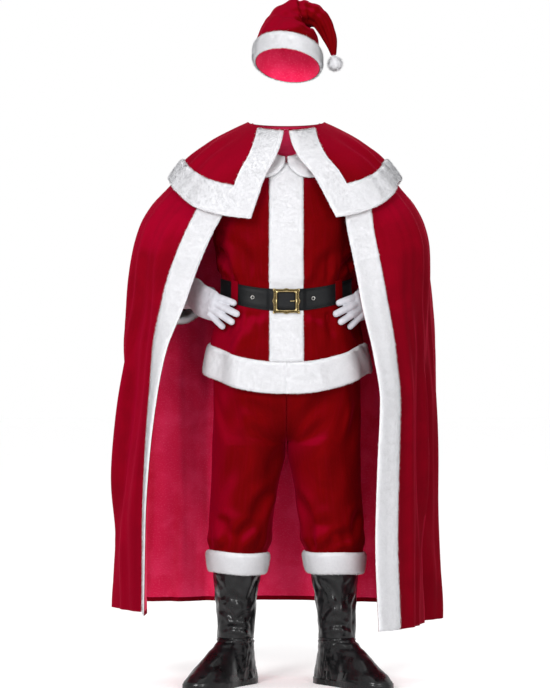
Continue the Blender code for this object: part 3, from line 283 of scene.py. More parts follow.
# The same on a leg: the arc runs from the inner seam by the front to the side seam, the back negative.
LEG_CREASES = {
    -1: table(
        CREASE,
        (0.051, 0.530, 0.101, 0.440, 0.012, 0.0055),
        (0.101, 0.440, 0.148, 0.386, 0.010, 0.0065),
        (0.211, 0.455, 0.164, 0.372, 0.011, 0.0060),
        (0.120, 0.760, 0.128, 0.500, 0.014, 0.0030),
        (0.205, 0.740, 0.196, 0.520, 0.014, 0.0030),
        (0.020, 0.700, 0.100, 0.748, 0.013, 0.0040),
        (0.040, 0.640, 0.070, 0.560, 0.013, 0.0034),
        (-0.050, 0.470, -0.120, 0.395, 0.012, 0.0060),
        (-0.230, 0.470, -0.150, 0.385, 0.012, 0.0060),
        (-0.130, 0.760, -0.120, 0.520, 0.015, 0.0034),
        (-0.030, 0.690, -0.110, 0.740, 0.014, 0.0045),
    ),
    1: table(
        CREASE,
        (0.031, 0.520, 0.073, 0.370, 0.012, 0.0055),
        (0.120, 0.376, 0.207, 0.405, 0.010, 0.0065),
        (0.207, 0.405, 0.250, 0.470, 0.010, 0.0050),
        (0.090, 0.440, 0.150, 0.410, 0.012, 0.0034),
        (0.140, 0.740, 0.146, 0.500, 0.014, 0.0030),
        (0.236, 0.720, 0.220, 0.560, 0.014, 0.0034),
        (0.020, 0.700, 0.090, 0.752, 0.013, 0.0038),
        (-0.060, 0.480, -0.130, 0.400, 0.012, 0.0060),
        (-0.225, 0.460, -0.140, 0.380, 0.012, 0.0060),
        (-0.140, 0.760, -0.130, 0.500, 0.015, 0.0034),
        (-0.030, 0.690, -0.105, 0.745, 0.014, 0.0045),
    ),
}
# On the cape: the share of the way from the middle of the back to the front edge, times one metre.
CAPE_CREASES = table(
    CREASE,
    (0.300, 1.150, 0.320, 0.260, 0.030, 0.0060),
    (0.400, 1.080, 0.385, 0.300, 0.024, 0.0050),
    (0.500, 1.200, 0.520, 0.230, 0.034, 0.0080),
    (0.590, 1.100, 0.600, 0.300, 0.020, 0.0045),
    (0.680, 1.120, 0.690, 0.230, 0.026, 0.0060),
    (0.770, 1.000, 0.750, 0.330, 0.020, 0.0050),
    (0.120, 1.200, 0.110, 0.250, 0.034, 0.0080),
    (0.210, 1.050, 0.230, 0.230, 0.026, 0.0060),
    (0.040, 1.120, 0.030, 0.230, 0.026, 0.0055),
    (0.250, 0.900, 0.060, 0.420, 0.030, 0.0050),
    (0.360, 0.620, 0.140, 0.280, 0.030, 0.0045),
)
CAPELET_CREASES = table(
    CREASE,
    (0.380, 1.480, 0.430, 1.385, 0.018, 0.0036),
    (0.560, 1.470, 0.610, 1.385, 0.016, 0.0036),
    (0.700, 1.490, 0.690, 1.390, 0.016, 0.0032),
    (0.200, 1.480, 0.220, 1.385, 0.020, 0.0036),
    (0.060, 1.490, 0.070, 1.390, 0.020, 0.0030),
)
SLEEVE_CREASES = table(
    CREASE,
    (0.020, 0.44, 0.110, 0.58, 0.012, 0.0045),
    (0.150, 0.40, 0.240, 0.52, 0.012, 0.0045),
    (0.260, 0.46, 0.330, 0.60, 0.012, 0.0040),
    (0.060, 0.66, 0.150, 0.78, 0.010, 0.0035),
    (0.200, 0.64, 0.300, 0.76, 0.010, 0.0035),
    (0.080, 0.12, 0.060, 0.30, 0.014, 0.0035),
    (0.240, 0.10, 0.280, 0.30, 0.014, 0.0035),
)
# On a boot cover's shaft: the arc runs from the toe's side round by the wearer's left.
BOOT_CREASES = {
    -1: table(
        CREASE,
        (-0.060, 0.205, 0.000, 0.172, 0.0050, 0.0045),
        (0.000, 0.172, 0.055, 0.196, 0.0050, 0.0045),
        (-0.055, 0.240, 0.030, 0.222, 0.0060, 0.0030),
        (-0.050, 0.150, 0.060, 0.142, 0.0045, 0.0040),
        (0.070, 0.300, 0.045, 0.215, 0.0060, 0.0030),
        (-0.090, 0.300, -0.080, 0.180, 0.0060, 0.0030),
        (0.140, 0.300, 0.160, 0.160, 0.0070, 0.0040),
        (-0.150, 0.290, -0.165, 0.150, 0.0070, 0.0040),
    ),
    1: table(
        CREASE,
        (-0.045, 0.290, 0.010, 0.222, 0.0055, 0.0042),
        (0.010, 0.222, -0.050, 0.180, 0.0055, 0.0042),
        (0.050, 0.300, 0.030, 0.200, 0.0050, 0.0034),
        (-0.060, 0.152, 0.065, 0.146, 0.0045, 0.0040),
        (0.080, 0.250, 0.060, 0.165, 0.0055, 0.0032),
        (-0.100, 0.280, -0.090, 0.170, 0.0060, 0.0032),
        (0.150, 0.300, 0.140, 0.160, 0.0070, 0.0040),
        (-0.155, 0.290, -0.150, 0.160, 0.0070, 0.0040),
    ),
}


# ---- settings a user would change ----
def linear(code):
    """An sRGB hex colour as linear numbers."""
    value = np.array([int(code[k : k + 2], 16) for k in (0, 2, 4)]) / 255
    return tuple(np.where(value <= 0.04045, value / 12.92, ((value + 0.055) / 1.055) ** 2.4).tolist())


def length(name, default, about):
    """A setting that is a length."""
    return bpy.props.FloatProperty(name=name, description=about, default=default, min=0.0, unit="LENGTH")


def colour(name, code, about):
    """A setting that is a colour, given as an sRGB hex code."""
    return bpy.props.FloatVectorProperty(
        name=name, description=about, default=linear(code), min=0.0, max=1.0, subtype="COLOR", size=3
    )


class SuitSizes(bpy.types.PropertyGroup):
    """Sizes of the cloth and the pile."""

    wall: length("Cloth", 0.0014, "Thickness of the velour shells")
    cell: length("Cloth cell", 0.0075, "Side of a cell in the cloth's grid")
    pile: length("Pile", 0.009, "How far the fur stands off its cloth")
    spacing: length("Strand spacing", 0.00149, "Mean distance between two strands of fur")
    strand: length("Strand width", 0.001, "Width of a tuft of fur at its root")


class SuitColours(bpy.types.PropertyGroup):
    """Colours of the cloth, fur and trims."""

    velour: colour("Velour", "580002", "Velour seen straight on")
    # The colour of the nap's streaks and of the velour's painted sheen and highlights.
    nap_and_sheen: colour("Nap", "920026", "Velour's nap seen at a slant")
    back: colour("Back", "CC1846", "Knitted back of the velour")
    fur: colour("Fur", "E8E8EB", "Tips of the fur")
    vinyl: colour("Vinyl", "070708", "Boot covers")
    belt: colour("Belt", "0C0D0E", "Imitation leather of the belt")
    gold: colour("Gold", "A5946A", "Antique gold of the buckle")


# ---- numbers to shapes ----
def stacked(*parts):
    """The parts, spread to one shape, as the last axis of one array."""
    return np.stack(np.broadcast_arrays(*parts), -1)


def smooth(at, knots, values):
    """A cubic through the knots that never overshoots them (harmonic mean of the neighbouring slopes)."""
    slope = np.diff(values) / np.diff(knots)
    pair = slope[:-1] * slope[1:]
    mean = np.where(pair > 0, 2 * pair / (slope[:-1] + slope[1:] + 1e-30), 0)
    tangent = np.concatenate((slope[:1], mean, slope[-1:]))
    at = np.clip(at, knots[0], knots[-1])
    k = np.clip(np.searchsorted(knots, at, side="right") - 1, 0, len(knots) - 2)
    width = (knots[1:] - knots[:-1])[k]
    t = (at - knots[k]) / width
    return (
        values[k] * (1 + 2 * t) * (1 - t) ** 2
        + values[k + 1] * t * t * (3 - 2 * t)
        + width * tangent[k] * t * (1 - t) ** 2
        - width * tangent[k + 1] * t * t * (1 - t)
    )


def read(rows, column, at):
    """The column's smooth value at a place in the table's first column."""
    knots = next(iter(rows.values()))
    order = np.argsort(knots)
    return smooth(np.asarray(at, float), knots[order], rows[column][order])


def powered(value, squareness):
    """The signed power 2/squareness of a sine or cosine, which makes a circle a superellipse."""
    return np.sign(value) * np.abs(value) ** (2 / squareness)


def ramp(value, low, high):
    """0 up to low, 1 from high, and a soft step (3t^2 - 2t^3) between."""
    t = np.clip((value - low) / (high - low), 0, 1)
    return t * t * (3 - 2 * t)


def waves(arc, numbers, phases, shares):
    """A sum of cosines of the arc, each with its waves per metre, phase and share."""
    return sum(c * np.cos(2 * np.pi * n * arc + p) for n, p, c in zip(numbers, phases, shares))


def creases(rows, arc, level, period=None):
    """Troughs along straight lines: a bell across, faded at both ends, with a lower ridge at each side."""
    total = np.zeros(np.broadcast(arc, level).shape)
    for a, b, a2, b2, width, depth in zip(*rows.values()):
        across = arc - a
        if period:
            across = (across + period / 2) % period - period / 2
        line = np.array((a2 - a, b2 - b))
        size = np.hypot(*line)
        along = (across * line[0] + (level - b) * line[1]) / size
        off = (across * line[1] - (level - b) * line[0]) / size
        off = off + 0.12 * size * np.sin(np.pi * np.clip(along / size, 0, 1)) * np.sign(a2 - a + 1e-9)
        fade = ramp(along, -0.12 * size, 0.3 * size) * (1 - ramp(along, 0.65 * size, 1.15 * size))
        width = 1.5 * width
        bell = np.exp(-((off / width) ** 2)) - 0.45 * np.exp(-(((np.abs(off) - 1.9 * width) / width) ** 2))
        total -= depth * bell * fade
    return total


def facets(seed, arc, level, period, cell):
    """Heights of a crumpled sheet: flat slopes that rise from the creases between cells strewn at random,
    as the difference of the ways to the two nearest cell centres (levels count a little over half)."""
    rng = np.random.default_rng(seed)
    arc, level = np.broadcast_arrays(arc, level)
    low, high = level.min(), level.max()
    count = int(period * (high - low) / cell**2)
    across = (arc[..., None] - period * rng.random(count) + period / 2) % period - period / 2
    along = 0.6 * (level[..., None] - low - (high - low) * rng.random(count))
    ways = np.partition(np.hypot(across, along), 1, axis=-1)
    return ways[..., 1] - ways[..., 0]


def unit(vectors, least=0.0):
    """Each vector over its length, to which least is added where it may be zero."""
    return vectors / (np.linalg.norm(vectors, axis=-1, keepdims=True) + least)


def grid_normals(points, ring=False):
    """Unit normals of a grid from its neighbours' differences; ring joins the last column to the first."""
    if ring:
        du = np.roll(points, -1, 1) - np.roll(points, 1, 1)
    else:
        du = np.gradient(points, axis=1)
    return unit(np.cross(du, np.gradient(points, axis=0)), 1e-12)


def facing_out(normals, points, centre=None):
    """The normals, turned all together where they face the middle of their ring."""
    away = points - (points.mean(1, keepdims=True) if centre is None else centre)
    return normals if np.einsum("ijk,ijk->", normals, away) > 0 else -normals


def ring_normals(rings):
    """Outward normals of a tube of rings."""
    return facing_out(grid_normals(rings, True), rings)


def shaped(form, folds, across, down, ring=False, centre=None):
    """The form's points moved along its normals by the folds, and the new surface's normals."""
    across, down = np.broadcast_arrays(across, down)
    points = form(across, down)
    points = points + folds(across, down)[..., None] * facing_out(grid_normals(points, ring), points, centre)
    return points, facing_out(grid_normals(points, ring), points, centre)


def drawn_in(points, gap=0.0002):
    """The grid with its side edges drawn in by the gap, so that two panels don't touch at their seam."""
    points = points.copy()
    for edge, beside in ((0, 1), (-1, -2)):
        way = points[:, beside] - points[:, edge]
        points[:, edge] += gap * way / (np.linalg.norm(way, axis=-1, keepdims=True) + 1e-12)
    return points


def even(count, low=0.0, high=1.0):
    """The ends of count even steps."""
    return np.linspace(low, high, count + 1)


def circle(count):
    """The angles of count even steps round a full turn."""
    return 2 * np.pi * np.arange(count) / count


def rounded(count, low=0.0, high=1.0):
    """Steps that are closer at both ends, as a rounded edge needs (half a cosine, mixed with even ones)."""
    t = np.linspace(0, 1, count + 1)
    return low + (high - low) * (0.45 * t + 0.55 * (1 - np.cos(np.pi * t)) / 2)


# ---- meshes ----
def quads(rows, columns, ring, first=0):
    """The quads of a grid numbered row by row from first; ring joins the last column to the first."""
    r, c = np.meshgrid(np.arange(rows - 1), np.arange(columns if ring else columns - 1), indexing="ij")
    a, b = r * columns + c, r * columns + (c + 1) % columns
    return first + np.stack((a, b, b + columns, a + columns), -1).reshape(-1, 4)


def strip(one, other, ring):
    """Quads between two rows of vertex numbers."""
    one_next, other_next = np.roll(one, -1), np.roll(other, -1)
    if not ring:
        one, other, one_next, other_next = one[:-1], other[:-1], one_next[:-1], other_next[:-1]
    return np.stack((one, other, other_next, one_next), -1)


def way_along(points, axis=0):
    """How far along its line of points each one lies: the sum of the steps up to it."""
    steps = np.linalg.norm(np.diff(points, axis=axis), axis=-1)
    return np.cumsum(np.insert(steps, 0, 0.0, axis), axis)


def surface_uv(points):
    """Metres along the columns and down the rows, averaged, so that a pattern follows the cloth."""
    across = np.linalg.norm(np.diff(points, axis=1), axis=-1).mean(0)
    down = np.linalg.norm(np.diff(points, axis=0), axis=-1).mean(1)
    u, v = np.concatenate(([0], np.cumsum(across))), np.concatenate(([0], np.cumsum(down)))
    return stacked(u[None, :], -v[:, None]).reshape(-1, 2)


def make_mesh(name, points, faces, finishes, uv=None, along=None, kinds=None, sharp=60, shading=None):
    """A mesh object in the frame, riding on the suit. faces are quads, or triangles where the fourth
    corner is -1; kinds numbers each face's finish; along is how far up its pile a point lies, and shading
    the points' own normals."""
    points = np.asarray(points, float) - (0, 0, NECK_HEIGHT)
    sizes = np.where(faces[:, 3] < 0, 3, 4) if faces.shape[1] == 4 else np.full(len(faces), 3)
    corners = faces.ravel() if faces.shape[1] == 3 else faces.ravel()[faces.ravel() >= 0]
    mesh = bpy.data.meshes.new(name)
    mesh.vertices.add(len(points))
    mesh.vertices.foreach_set("co", points.astype(np.float32).ravel())
    mesh.loops.add(len(corners))
    mesh.loops.foreach_set("vertex_index", corners.astype(np.int32))
    mesh.polygons.add(len(faces))
    mesh.polygons.foreach_set("loop_start", (np.cumsum(sizes) - sizes).astype(np.int32))
    mesh.polygons.foreach_set("loop_total", sizes.astype(np.int32))
    for finish in finishes:
        mesh.materials.append(finish)
    if kinds is not None:
        mesh.polygons.foreach_set("material_index", np.asarray(kinds, np.int32))
    mesh.update(calc_edges=True)
    if uv is not None:
        layer = mesh.uv_layers.new(name="Cloth")
        layer.data.foreach_set("uv", np.asarray(uv, np.float32)[corners].ravel())
    if along is not None:
        layer = mesh.attributes.new("along", "FLOAT", "POINT")
        layer.data.foreach_set("value", np.asarray(along, np.float32))
    mesh.shade_smooth()
    mesh.set_sharp_from_angle(angle=np.radians(sharp))
    if shading is not None:
        layer = mesh.attributes.new("pile_normal", "FLOAT_VECTOR", "POINT")
        layer.data.foreach_set("vector", unit(shading, 1e-12).astype(np.float32).ravel())
    thing = bpy.data.objects.new(name, mesh)
    bpy.context.scene.collection.objects.link(thing)
    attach(thing, "root")
    return thing


def wall_faces(rows, columns, ring):
    """Quads of a closed wall between two matching grids, and which of them are its inner face."""
    count = rows * columns
    number = np.arange(count).reshape(rows, columns)
    outer, inner = quads(rows, columns, ring), quads(rows, columns, ring, count)[:, ::-1]
    rims = [strip(number[0], number[0] + count, ring), strip(number[-1] + count, number[-1], ring)]
    if not ring:
        rims.append(strip(number[:, 0] + count, number[:, 0], False))
        rims.append(strip(number[:, -1], number[:, -1] + count, False))
    faces = np.concatenate([outer, inner, *rims])
    inside = np.zeros(len(faces), bool)
    inside[len(outer) : len(outer) + len(inner)] = True
    return faces, inside


def turned_out(faces, points):
    """The faces, turned all together where the volume that they close comes out negative."""
    a, b, c, d = (points[faces[:, k]] for k in range(4))
    volume = np.einsum("ij,ij->", a, np.cross(b, c)) + np.einsum("ij,ij->", a, np.cross(c, d))
    return faces if volume > 0 else faces[:, ::-1]


def ring_body(rings):
    """Points and outward faces of a closed body: a grid that joins up both ways, as a belt does."""
    count, columns = rings.shape[:2]
    number = np.arange(count * columns).reshape(count, columns)
    faces = np.concatenate([strip(number[k], number[(k + 1) % count], True) for k in range(count)])
    points = rings.reshape(-1, 3)
    return points, turned_out(faces, points)


def cloth(name, points, out, finishes=None, ring=False, wall=None, turn_up=0):
    """A closed thin wall inwards from the grid: outer finish outside, the back's inside, and the outer
    one again on the last rows of the inside, where a hem is turned up."""
    wall = wall or sizes().wall
    inner = points - wall * out
    both = np.concatenate((points.reshape(-1, 3), inner.reshape(-1, 3)))
    rows, columns = points.shape[:2]
    faces, inside = wall_faces(rows, columns, ring)
    if turn_up:
        cells = columns if ring else columns - 1
        numbers = np.flatnonzero(inside)
        inside[numbers[-turn_up * cells :]] = False
    uv = np.tile(surface_uv(points), (2, 1))
    finishes = finishes or (velour_finish(), velour_back_finish())
    kinds = np.where(inside, len(finishes) - 1, 0)
    return make_mesh(name, both, turned_out(faces, both), finishes, uv=uv, kinds=kinds)


def edge_profile(points, rounding, ring, radius):
    """How high the fur stands: 1 inside, falling in a quarter circle to 0 at each rounded edge.

    rounding has one number for the left, right, top and bottom edge: the share of the radius."""
    across, down = way_along(points, 1), way_along(points, 0)
    distances = [down, down[-1:] - down]
    if not ring:
        distances = [across, across[:, -1:] - across, *distances]
    height = np.ones(points.shape[:2])
    for distance, share in zip(distances, rounding[-len(distances) :]):
        if share > 0:
            t = np.clip(distance / (radius * share), 0, 1)
            height = np.minimum(height, np.sqrt(1 - (1 - t) ** 2))
    return height


def tufts(points, scale=1.0):
    """Slow uneven numbers from -1 to 1 over space, a few sines of turned axes (about 20 mm across)."""
    x, y, z = (points[..., k] * scale for k in range(3))
    return (
        np.sin(310 * x + 90 * z + 1.1)
        + np.sin(-140 * x + 270 * z + 120 * y)
        + np.sin(330 * y + 160 * z + 0.7)
        + np.sin(210 * x - 230 * y + 190 * z + 2.0)
    ) / 4


def strands(seed, points, out, height, comb, ring, pile):
    """Tapered single-face tufts, spread evenly by area over a grid. Each leans from the normal towards
    the comb's direction, by an uneven amount that neighbouring tufts share."""
    rng = np.random.default_rng(seed)
    after = np.concatenate((points[:, 1:], points[:, :1]), 1) if ring else points[:, 1:]
    here = points if ring else points[:, :-1]
    area = np.linalg.norm(np.cross((after - here)[:-1], (here[1:] - here[:-1])), axis=-1)
    count = int(area.sum() / sizes().spacing ** 2)
    cell = rng.choice(area.size, count, p=(area / area.sum()).ravel())
    r, c = np.unravel_index(cell, area.shape)
    c2 = (c + 1) % points.shape[1]
    s, t = rng.random((2, count, 1))

    def at(grid):
        """The grid's value at each root, weighed between its cell's four corners."""
        grid = grid if grid.ndim == 3 else grid[..., None]
        upper = (1 - s) * grid[r, c] + s * grid[r, c2]
        lower = (1 - s) * grid[r + 1, c] + s * grid[r + 1, c2]
        return (1 - t) * upper + t * lower

    root, normal, high = at(points), unit(at(out)), at(height)
    comb = np.broadcast_to(np.asarray(comb, float), root.shape) + 0.55 * rng.normal(size=root.shape)
    swirl = np.stack((tufts(root), tufts(root + 0.31), tufts(root + 0.67)), -1)
    lean = comb + 0.35 * swirl
    lean = unit(lean - (lean * normal).sum(1, keepdims=True) * normal, 1e-9)
    slant = 0.66 + 0.34 * rng.random((count, 1)) + 0.05 * tufts(root, 1.7)[:, None]
    way = np.cos(slant) * normal + np.sin(slant) * lean
    size = pile * (0.62 + 0.25 * rng.random((count, 1))) / np.cos(slant).clip(0.45)
    side = np.cross(way, normal)
    side *= 0.5 * sizes().strand / (np.linalg.norm(side, axis=1, keepdims=True) + 1e-9)
    low = root - 0.1 * pile * normal * high
    tip = root + way * size * (0.35 + 0.65 * high.clip(0, 1))
    one, other = low - side, low + side
    corners = np.stack((one, other, tip), 1).reshape(-1, 3)
    face = np.cross(other - one, tip - one)
    outward = (face * normal).sum(1)[:, None] > 0
    number = np.arange(3 * count).reshape(-1, 3)
    number = np.where(outward, number, number[:, ::-1])
    face *= np.where(outward, 1, -1) / (np.linalg.norm(face, axis=1, keepdims=True) + 1e-12)
    soft = normal + 0.1 * face
    # Roots count a quarter of the way up the pile and tips all of it, which sets the fur's painted shade.
    return corners, number, np.tile((0.25, 0.25, 1.0), count), np.repeat(soft, 3, 0)


def plush(name, points, faces, skin, hair, hair_faces, hair_along, hair_skin):
    """One mesh of a soft base and its strands, with how far up the pile and which way each point lies."""
    hair_faces = np.concatenate((hair_faces + len(points), np.full((len(hair_faces), 1), -1)), 1)
    along = np.concatenate((np.full(len(points), BASE_ALONG), hair_along))
    points, faces = np.concatenate((points, hair)), np.concatenate((faces, hair_faces))
    shading = np.concatenate((skin, hair_skin))
    return make_mesh(name, points, faces, (fur_finish(),), along=along, shading=shading)


def fur(name, points, out, rounding=(1, 1, 1, 1), ring=False, comb=(0, 0, -1), pile=None, pressed=None):
    """Fur laid on a grid: a soft lumpy base just over half as deep as the pile, and strands on it."""
    pile = pile or sizes().pile
    height = edge_profile(points, rounding, ring, 1.1 * pile)
    if pressed is not None:
        height = height * pressed
    base = 0.56 * pile * height * (1 + 0.015 * tufts(points, 0.8))
    outer = points + (LAID + base)[..., None] * out
    inner = points + LAID * out
    both = np.concatenate((outer.reshape(-1, 3), inner.reshape(-1, 3)))
    faces, _ = wall_faces(*points.shape[:2], ring)
    faces = turned_out(faces, both)
    skin = grid_normals(outer, ring)
    skin = skin if np.einsum("ijk,ijk->", skin, out) > 0 else -skin
    hair = strands(sum(map(ord, name)), outer, skin, height, comb, ring, 0.62 * pile)
    return plush(name, both, faces, np.concatenate((skin, -skin)).reshape(-1, 3), *hair)


def sizes():
    """The scene's sizes."""
    return bpy.context.scene.suit_sizes


def colours():
    """The scene's colours."""
    return bpy.context.scene.suit_colours


# ---- finishes, each made on first use ----
SOFT_STEP = {"interpolation_type": "SMOOTHSTEP"}  # a MapRange node's setting
IN_COLOUR = {"data_type": "RGBA"}  # a Mix node's: socket 0 is then its share, 6 and 7 its colours


def plug(tree, node, sockets):
    """Sets a node's sockets, given by name or in order. A value is a number, a colour or vector of three
    numbers, or an output, which is linked to the socket."""
    for key, value in sockets.items() if isinstance(sockets, dict) else enumerate(sockets):
        socket = node.inputs[key]
        if isinstance(value, bpy.types.NodeSocket):
            tree.links.new(value, socket)
        else:
            socket.default_value = (*value, 1.0) if socket.type == "RGBA" else value


def add(tree, kind, sockets=(), **settings):
    """Adds a node with its settings and sockets, and gives its outputs."""
    made = tree.nodes.new("ShaderNode" + kind)
    for key, value in settings.items():
        setattr(made, key, value)
    plug(tree, made, sockets)
    return made.outputs


def new_material(name, **sockets):
    """A material, its tree, and its shader with the sockets' plain numbers set."""
    made = bpy.data.materials.new(name)
    made.use_nodes = True
    tree = made.node_tree
    shader = tree.nodes["Principled BSDF"]
    names = {key: key.replace("_", " ").title().replace("Ior", "IOR") for key in sockets}
    plug(tree, shader, {names[key]: value for key, value in sockets.items()})
    return made, tree, shader


def layered(tree, colour_now, *layers):
    """The colour with others laid over it. Each layer takes over in a soft step of a pattern: the pattern's
    output, where the step starts and ends, the layer's share before and after it, and its colour."""
    for pattern, start, end, before, after, above in layers:
        share = add(tree, "MapRange", (pattern, start, end, before, after), **SOFT_STEP)["Result"]
        colour_now = add(tree, "Mix", {0: share, 6: colour_now, 7: above}, **IN_COLOUR)[2]
    return colour_now


@cache
def velour_finish(name="polyester_velour", painted_light_share=0.0):
    """Polyester velour, knitted and cut to a short pile: deep where it is seen straight on, with a painted
    magenta sheen at a slant, in brushed patches 60 to 100 mm across and faint streaks down the nap. A slope
    that faces up or to the wearer's right gets a painted highlight, the other one painted shade. The last
    argument is a share of painted light that makes it paler and cooler all over."""
    deep, nap_and_sheen = tuple(colours().velour), tuple(colours().nap_and_sheen)
    # A share of painted light moves the colour towards the nap's sheen colour, paler and cooler.
    deep = tuple((1 - painted_light_share) * a + painted_light_share * b for a, b in zip(deep, nap_and_sheen))
    made, tree, shader = new_material(
        name,
        roughness=0.8,
        sheen_weight=0.03,
        sheen_roughness=0.3,
        sheen_tint=linear("FF0040"),
        specular_ior_level=0.02,
    )
    place = add(tree, "TexCoord")
    down_nap = add(tree, "Mapping", {"Vector": place["UV"], "Scale": (150, 9, 1)})["Vector"]
    at = {"Vector": place["Object"]}
    patches = add(tree, "TexNoise", {**at, "Scale": 11, "Detail": 3, "Distortion": 0.8})["Fac"]
    streaks = add(tree, "TexNoise", {"Vector": down_nap, "Scale": 1})["Fac"]
    # Painted sheen: magenta where the cloth is seen at a slant.
    slant = add(tree, "LayerWeight", {"Blend": 0.3})["Facing"]
    # Painted light and shade by the way a slope faces: slopes facing up or to the wearer's right paler, the
    # others deeper.
    facing = add(tree, "SeparateXYZ", (place["Normal"],))
    sideways = add(tree, "Math", (facing["X"], -0.45), operation="MULTIPLY")[0]
    painted_light_slope = add(tree, "Math", (facing["Z"], sideways), operation="ADD")[0]
    lit = layered(
        tree,
        tuple(0.86 * c for c in deep),
        (patches, 0.36, 0.66, 0.0, 1.0, deep),
        # The last three layers are painted light: a highlight and a shade by the slope's facing, and a sheen
        # at a slant.
        (streaks, 0.42, 0.8, 0.0, 0.05, nap_and_sheen),
        (painted_light_slope, 0.0, 0.55, 0.0, 0.34, nap_and_sheen),
        (painted_light_slope, -0.5, 0.0, 0.45, 0.0, tuple(0.45 * c for c in deep)),
        (slant, 0.25, 0.98, 0.0, 0.7, nap_and_sheen),
    )
    pile = add(tree, "TexNoise", {**at, "Scale": 700})["Fac"]
    bump = add(tree, "Bump", {"Height": pile, "Strength": 0.25, "Distance": 0.0008})["Normal"]
    plug(tree, shader, {"Base Color": lit, "Normal": bump})
    return made


@cache
def painted_light_velour_finish():
    """The cape's velour: the same cloth with painted light, paler and cooler all over."""
    return velour_finish("polyester_velour_painted_light", 0.22)


@cache
def velour_back_finish():
    """The velour's knitted back: matt, paler and pinker, with the small specks of its loops. Its stitches
    are 1 mm apart and are drawn at 3 mm, since finer ones don't show."""
    made, tree, shader = new_material(
        "velour_knitted_back",
        roughness=0.92,
        sheen_weight=0.12,
        sheen_roughness=0.6,
        sheen_tint=linear("FF90A8"),
        specular_ior_level=0.1,
    )
    place = add(tree, "TexCoord")
    stitches = add(tree, "Mapping", {"Vector": place["UV"], "Scale": (330, 260, 1)})["Vector"]
    loops = add(tree, "TexNoise", {"Vector": stitches, "Scale": 1, "Detail": 1})["Fac"]
    at = {"Vector": place["Object"]}
    clouds = add(tree, "TexNoise", {**at, "Scale": 16, "Detail": 4, "Distortion": 0.4})["Fac"]
    pink = layered(
        tree,
        tuple(colours().back),
        (clouds, 0.35, 0.7, 0.0, 1.0, linear("D82C58")),
        (loops, 0.5, 0.78, 0.0, 0.34, linear("E06080")),
    )
    bump = add(tree, "Bump", {"Height": loops, "Strength": 0.35, "Distance": 0.0006})["Normal"]
    plug(tree, shader, {"Base Color": pink, "Normal": bump})
    return made


@cache
def fur_finish():
    """Acrylic faux fur, a thick plush: matt and white at its tips, with painted shade that makes it greyer
    down in the pile. A strand takes the light as the pile round it does, so its own thin face doesn't flicker
    from bright to dark; some of the light goes through it, so the pile's far edge glows."""
    made, tree, shader = new_material(
        "acrylic_faux_fur", roughness=0.95, sheen_weight=0.1, sheen_roughness=0.6, specular_ior_level=0.2
    )
    along = add(tree, "Attribute", attribute_name="along")["Fac"]
    at = {"Vector": add(tree, "TexCoord")["Object"]}
    soft = add(tree, "TexNoise", {**at, "Scale": 130, "Detail": 3})["Fac"]
    # Painted shade: greyer from the tips down into the pile; the noise is the fur's own uneven tone.
    white = layered(
        tree,
        linear("DEDEE1"),
        (soft, 0.3, 0.7, 0.0, 1.0, linear("E6E6E9")),
        (along, 0.2, 0.95, 0.0, 1.0, tuple(colours().fur)),
    )
    pile = add(tree, "Attribute", attribute_name="pile_normal")["Vector"]
    turns = {"vector_type": "NORMAL", "convert_from": "OBJECT", "convert_to": "WORLD"}
    upward = add(tree, "VectorTransform", (pile,), **turns)["Vector"]
    fibres = add(tree, "TexNoise", {**at, "Scale": 420})["Fac"]
    uneven = {"Height": fibres, "Strength": 0.15, "Distance": 0.001, "Normal": upward}
    plug(tree, shader, {"Base Color": white, "Normal": add(tree, "Bump", uneven)["Normal"]})
    through = add(tree, "BsdfTranslucent", {"Color": white, "Normal": upward})["BSDF"]
    both = add(tree, "MixShader", (0.3, shader.outputs["BSDF"], through))["Shader"]
    plug(tree, tree.nodes["Material Output"], {"Surface": both})
    return made


@cache
def cotton_finish():
    """White cotton jersey of the gloves: matt, with fine ribs of knit 1 mm apart, drawn at 1.6 mm, and
    painted shade in their grooves.
    """
    made, tree, shader = new_material("cotton_jersey", roughness=0.88, sheen_weight=0.1, ior=1.45)
    at = {"Vector": add(tree, "TexCoord")["Object"]}
    ribs = add(tree, "TexWave", {**at, "Scale": 190, "Distortion": 1.5, "Detail": 1})["Fac"]
    soft = add(tree, "TexNoise", {**at, "Scale": 60})["Fac"]
    shade = layered(
        tree,
        linear("9C9CA2"),
        (soft, 0.3, 0.75, 0.0, 1.0, linear("AAAAB0")),
        # Painted shade: the ribs' grooves a little darker.
        (ribs, 0.0, 0.5, 0.14, 0.0, linear("84848E")),
    )
    bump = add(tree, "Bump", {"Height": ribs, "Strength": 0.25, "Distance": 0.0005})["Normal"]
    plug(tree, shader, {"Base Color": shade, "Normal": bump})
    return made


